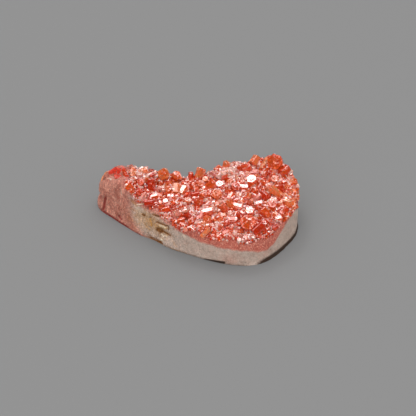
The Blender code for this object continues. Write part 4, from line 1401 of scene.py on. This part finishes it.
def growing_surface(name):
    """The crust's top and the upper edge of its side, as a bare surface that crystals grow on,
    with how thickly they cover it."""
    points, inward = outline_points(GROWN_STEPS)
    high = crust_top(points[:, 0], points[:, 1])
    rings = [wall_ring(points, inward, high - drop) for drop in (0.75, 0.5, 0.25, 0.0)]
    inside = inner_points(rings[-1][:, :2], spacing=0.8, clear=0.3)
    inside = np.column_stack([inside, crust_top(inside[:, 0], inside[:, 1])])
    count = len(points)
    vertices = list(np.vstack(rings))
    faces = side_faces(len(rings), count)
    faces += capped(rings[-1], inside, (len(rings) - 1) * count, len(vertices))
    made = new_object(name, vertices + list(inside), faces)
    x, y, z = places(made).T
    drop = crust_top(x, y) - z
    cover = step_up(x, WORN_END - 0.3, WORN_END + 0.5)
    cover *= np.where(drop < 0.05, 1.0, np.where(drop < 0.3, 0.3, 0.0))
    column, row = seen_at(places(made))
    zone = 0.12 + tone_shift(column, row)
    store(made, {"cover": cover, "zone": zone, "frost": frost_and_sheen_share(column, row)})
    return made


def cover_bed(kind, settings, sizes, ripple, seed):
    """Covers the bed with crystals of one kind, as one plain mesh."""
    corners, faces = plain_prism()
    crystal = new_object(kind + "_crystal", [corner / MM for corner in corners], faces)
    material = vanadinite_material("vanadinite_" + kind, settings, ripple)
    surface = growing_surface("bed_for_" + kind)
    tree = scatter_tree(kind + "_crystals_scatter", material)
    modifier = surface.modifiers.new("scatter", "NODES")
    modifier.node_group = tree
    for label, value in {"Crystal": crystal, "Seed": seed, **sizes}.items():
        set_input(modifier, label, value)
    surface.update_tag()
    bpy.context.view_layer.update()
    graph = bpy.context.evaluated_depsgraph_get()
    mesh = bpy.data.meshes.new_from_object(surface.evaluated_get(graph))
    made = bpy.data.objects.new(kind + "_crystals", mesh)
    bpy.context.scene.collection.objects.link(made)
    bpy.data.objects.remove(surface)
    bpy.data.objects.remove(crystal)
    bpy.data.node_groups.remove(tree)
    finish_piece(made, "vanadinite_crust")


class DRUSE_OT_add_small_crystals(bpy.types.Operator):
    """Cover the bed with small crystals between the larger ones"""

    bl_idname = "druse.add_small_crystals"
    bl_label = "Small Crystals"

    def execute(self, context):
        settings = context.scene.druse_crystals
        sizes = {"Apart": settings.small_apart, "Across": settings.small_across, "Lean": 1.4, "Rise": 0.00014}
        cover_bed("small", settings, sizes, 0.5, settings.seed)
        return {"FINISHED"}


class DRUSE_OT_add_grains(bpy.types.Operator):
    """Cover the bed with the finest crystals"""

    bl_idname = "druse.add_grains"
    bl_label = "Fine Crystals"

    def execute(self, context):
        settings = context.scene.druse_crystals
        sizes = {"Apart": settings.grain_apart, "Across": settings.grain_across, "Lean": 1.5, "Rise": 0.00034}
        cover_bed("fine", settings, sizes, 0.3, settings.seed + FINE_SEED)
        return {"FINISHED"}


def finish_piece(made, node):
    """Hands a piece to the frame, in place of a solid."""
    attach(made, "root")
    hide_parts(node)


# Stage


def soft_box(name, direction, distance, width, height, brightness, target):
    """An area light whose face has a brightness, seen in reflections, turned to a target."""
    light = bpy.data.lights.new(name, "AREA")
    light.shape = "RECTANGLE"
    light.size = width
    light.size_y = height
    light.energy = brightness * math.pi * width * height
    made = bpy.data.objects.new(name, light)
    made.location = target + direction.normalized() * distance
    made.rotation_euler = direction.to_track_quat("Z", "Y").to_euler()
    bpy.context.scene.collection.objects.link(made)
    return made


class DRUSE_OT_add_stage(bpy.types.Operator):
    """Add the floor, the soft lights and the camera"""

    bl_idname = "druse.add_stage"
    bl_label = "Stage"

    def execute(self, context):
        settings = context.scene.druse_stage
        scene = context.scene
        corners = [(-1, -1, 0), (1, -1, 0), (1, 1, 0), (-1, 1, 0)]
        floor = new_object("floor", [Vector(corner) * FLOOR_HALF for corner in corners], [(0, 1, 2, 3)])
        floor.data.materials.append(floor_material(settings))

        world = bpy.data.worlds.new("studio")
        scene.world = world
        world.use_nodes = True
        world.node_tree.nodes.clear()
        background = add_node(
            world.node_tree, "ShaderNodeBackground", {"Color": (1, 1, 1, 1), "Strength": settings.surround}
        )
        add_node(world.node_tree, "ShaderNodeOutputWorld", {"Surface": background})
        world.cycles_visibility.glossy = False

        aim = EYE_AIM * MM
        for name, lean, towards, *sizes, mirrored, lights in LIGHTS:
            light = soft_box(name + "_box", bearing(lean, towards), *sizes, getattr(settings, name), aim)
            light.visible_glossy = mirrored
            light.visible_diffuse = lights

        camera = bpy.data.cameras.new("camera")
        camera.lens = EYE_LENS
        camera.sensor_width = EYE_SENSOR
        camera.clip_start = 0.005
        camera.clip_end = 20
        seen = bpy.data.objects.new("camera", camera)
        seen.location = aim + Vector(EYE_BACK) * EYE_DISTANCE * MM
        seen.rotation_euler = (math.pi / 2 - EYE_HEIGHT, 0, 0)
        scene.collection.objects.link(seen)
        scene.camera = seen
        scene.view_settings.view_transform = "Standard"
        scene.view_settings.look = "None"
        return {"FINISHED"}


class DRUSE_PT_panel(bpy.types.Panel):
    bl_idname = "DRUSE_PT_panel"
    bl_label = "Vanadinite Druse"
    bl_space_type = "VIEW_3D"
    bl_region_type = "UI"
    bl_category = "Druse"

    def draw(self, context):
        for operator, group in STEPS:
            box = self.layout.box()
            box.operator(operator)
            settings = getattr(context.scene, group)
            for name in settings.__annotations__:
                box.prop(settings, name)


STEPS = (
    ("druse.add_rock", "druse_rock"),
    ("druse.add_bed", "druse_bed"),
    ("druse.add_crystals", "druse_crystals"),
    ("druse.add_small_crystals", "druse_crystals"),
    ("druse.add_grains", "druse_crystals"),
    ("druse.add_stage", "druse_stage"),
)

CLASSES = (
    RockSettings,
    BedSettings,
    CrystalSettings,
    StageSettings,
    DRUSE_OT_add_rock,
    DRUSE_OT_add_bed,
    DRUSE_OT_add_crystals,
    DRUSE_OT_add_small_crystals,
    DRUSE_OT_add_grains,
    DRUSE_OT_add_stage,
    DRUSE_PT_panel,
)


def register():
    for cls in CLASSES:
        bpy.utils.register_class(cls)
    bpy.types.Scene.druse_rock = PointerProperty(type=RockSettings)
    bpy.types.Scene.druse_bed = PointerProperty(type=BedSettings)
    bpy.types.Scene.druse_crystals = PointerProperty(type=CrystalSettings)
    bpy.types.Scene.druse_stage = PointerProperty(type=StageSettings)


def unregister():
    for name in ("druse_rock", "druse_bed", "druse_crystals", "druse_stage"):
        delattr(bpy.types.Scene, name)
    for cls in reversed(CLASSES):
        bpy.utils.unregister_class(cls)


def main():
    register()
    for operator, _ in STEPS:
        group, name = operator.split(".")
        getattr(getattr(bpy.ops, group), name)()


if __name__ == "__main__":
    main()
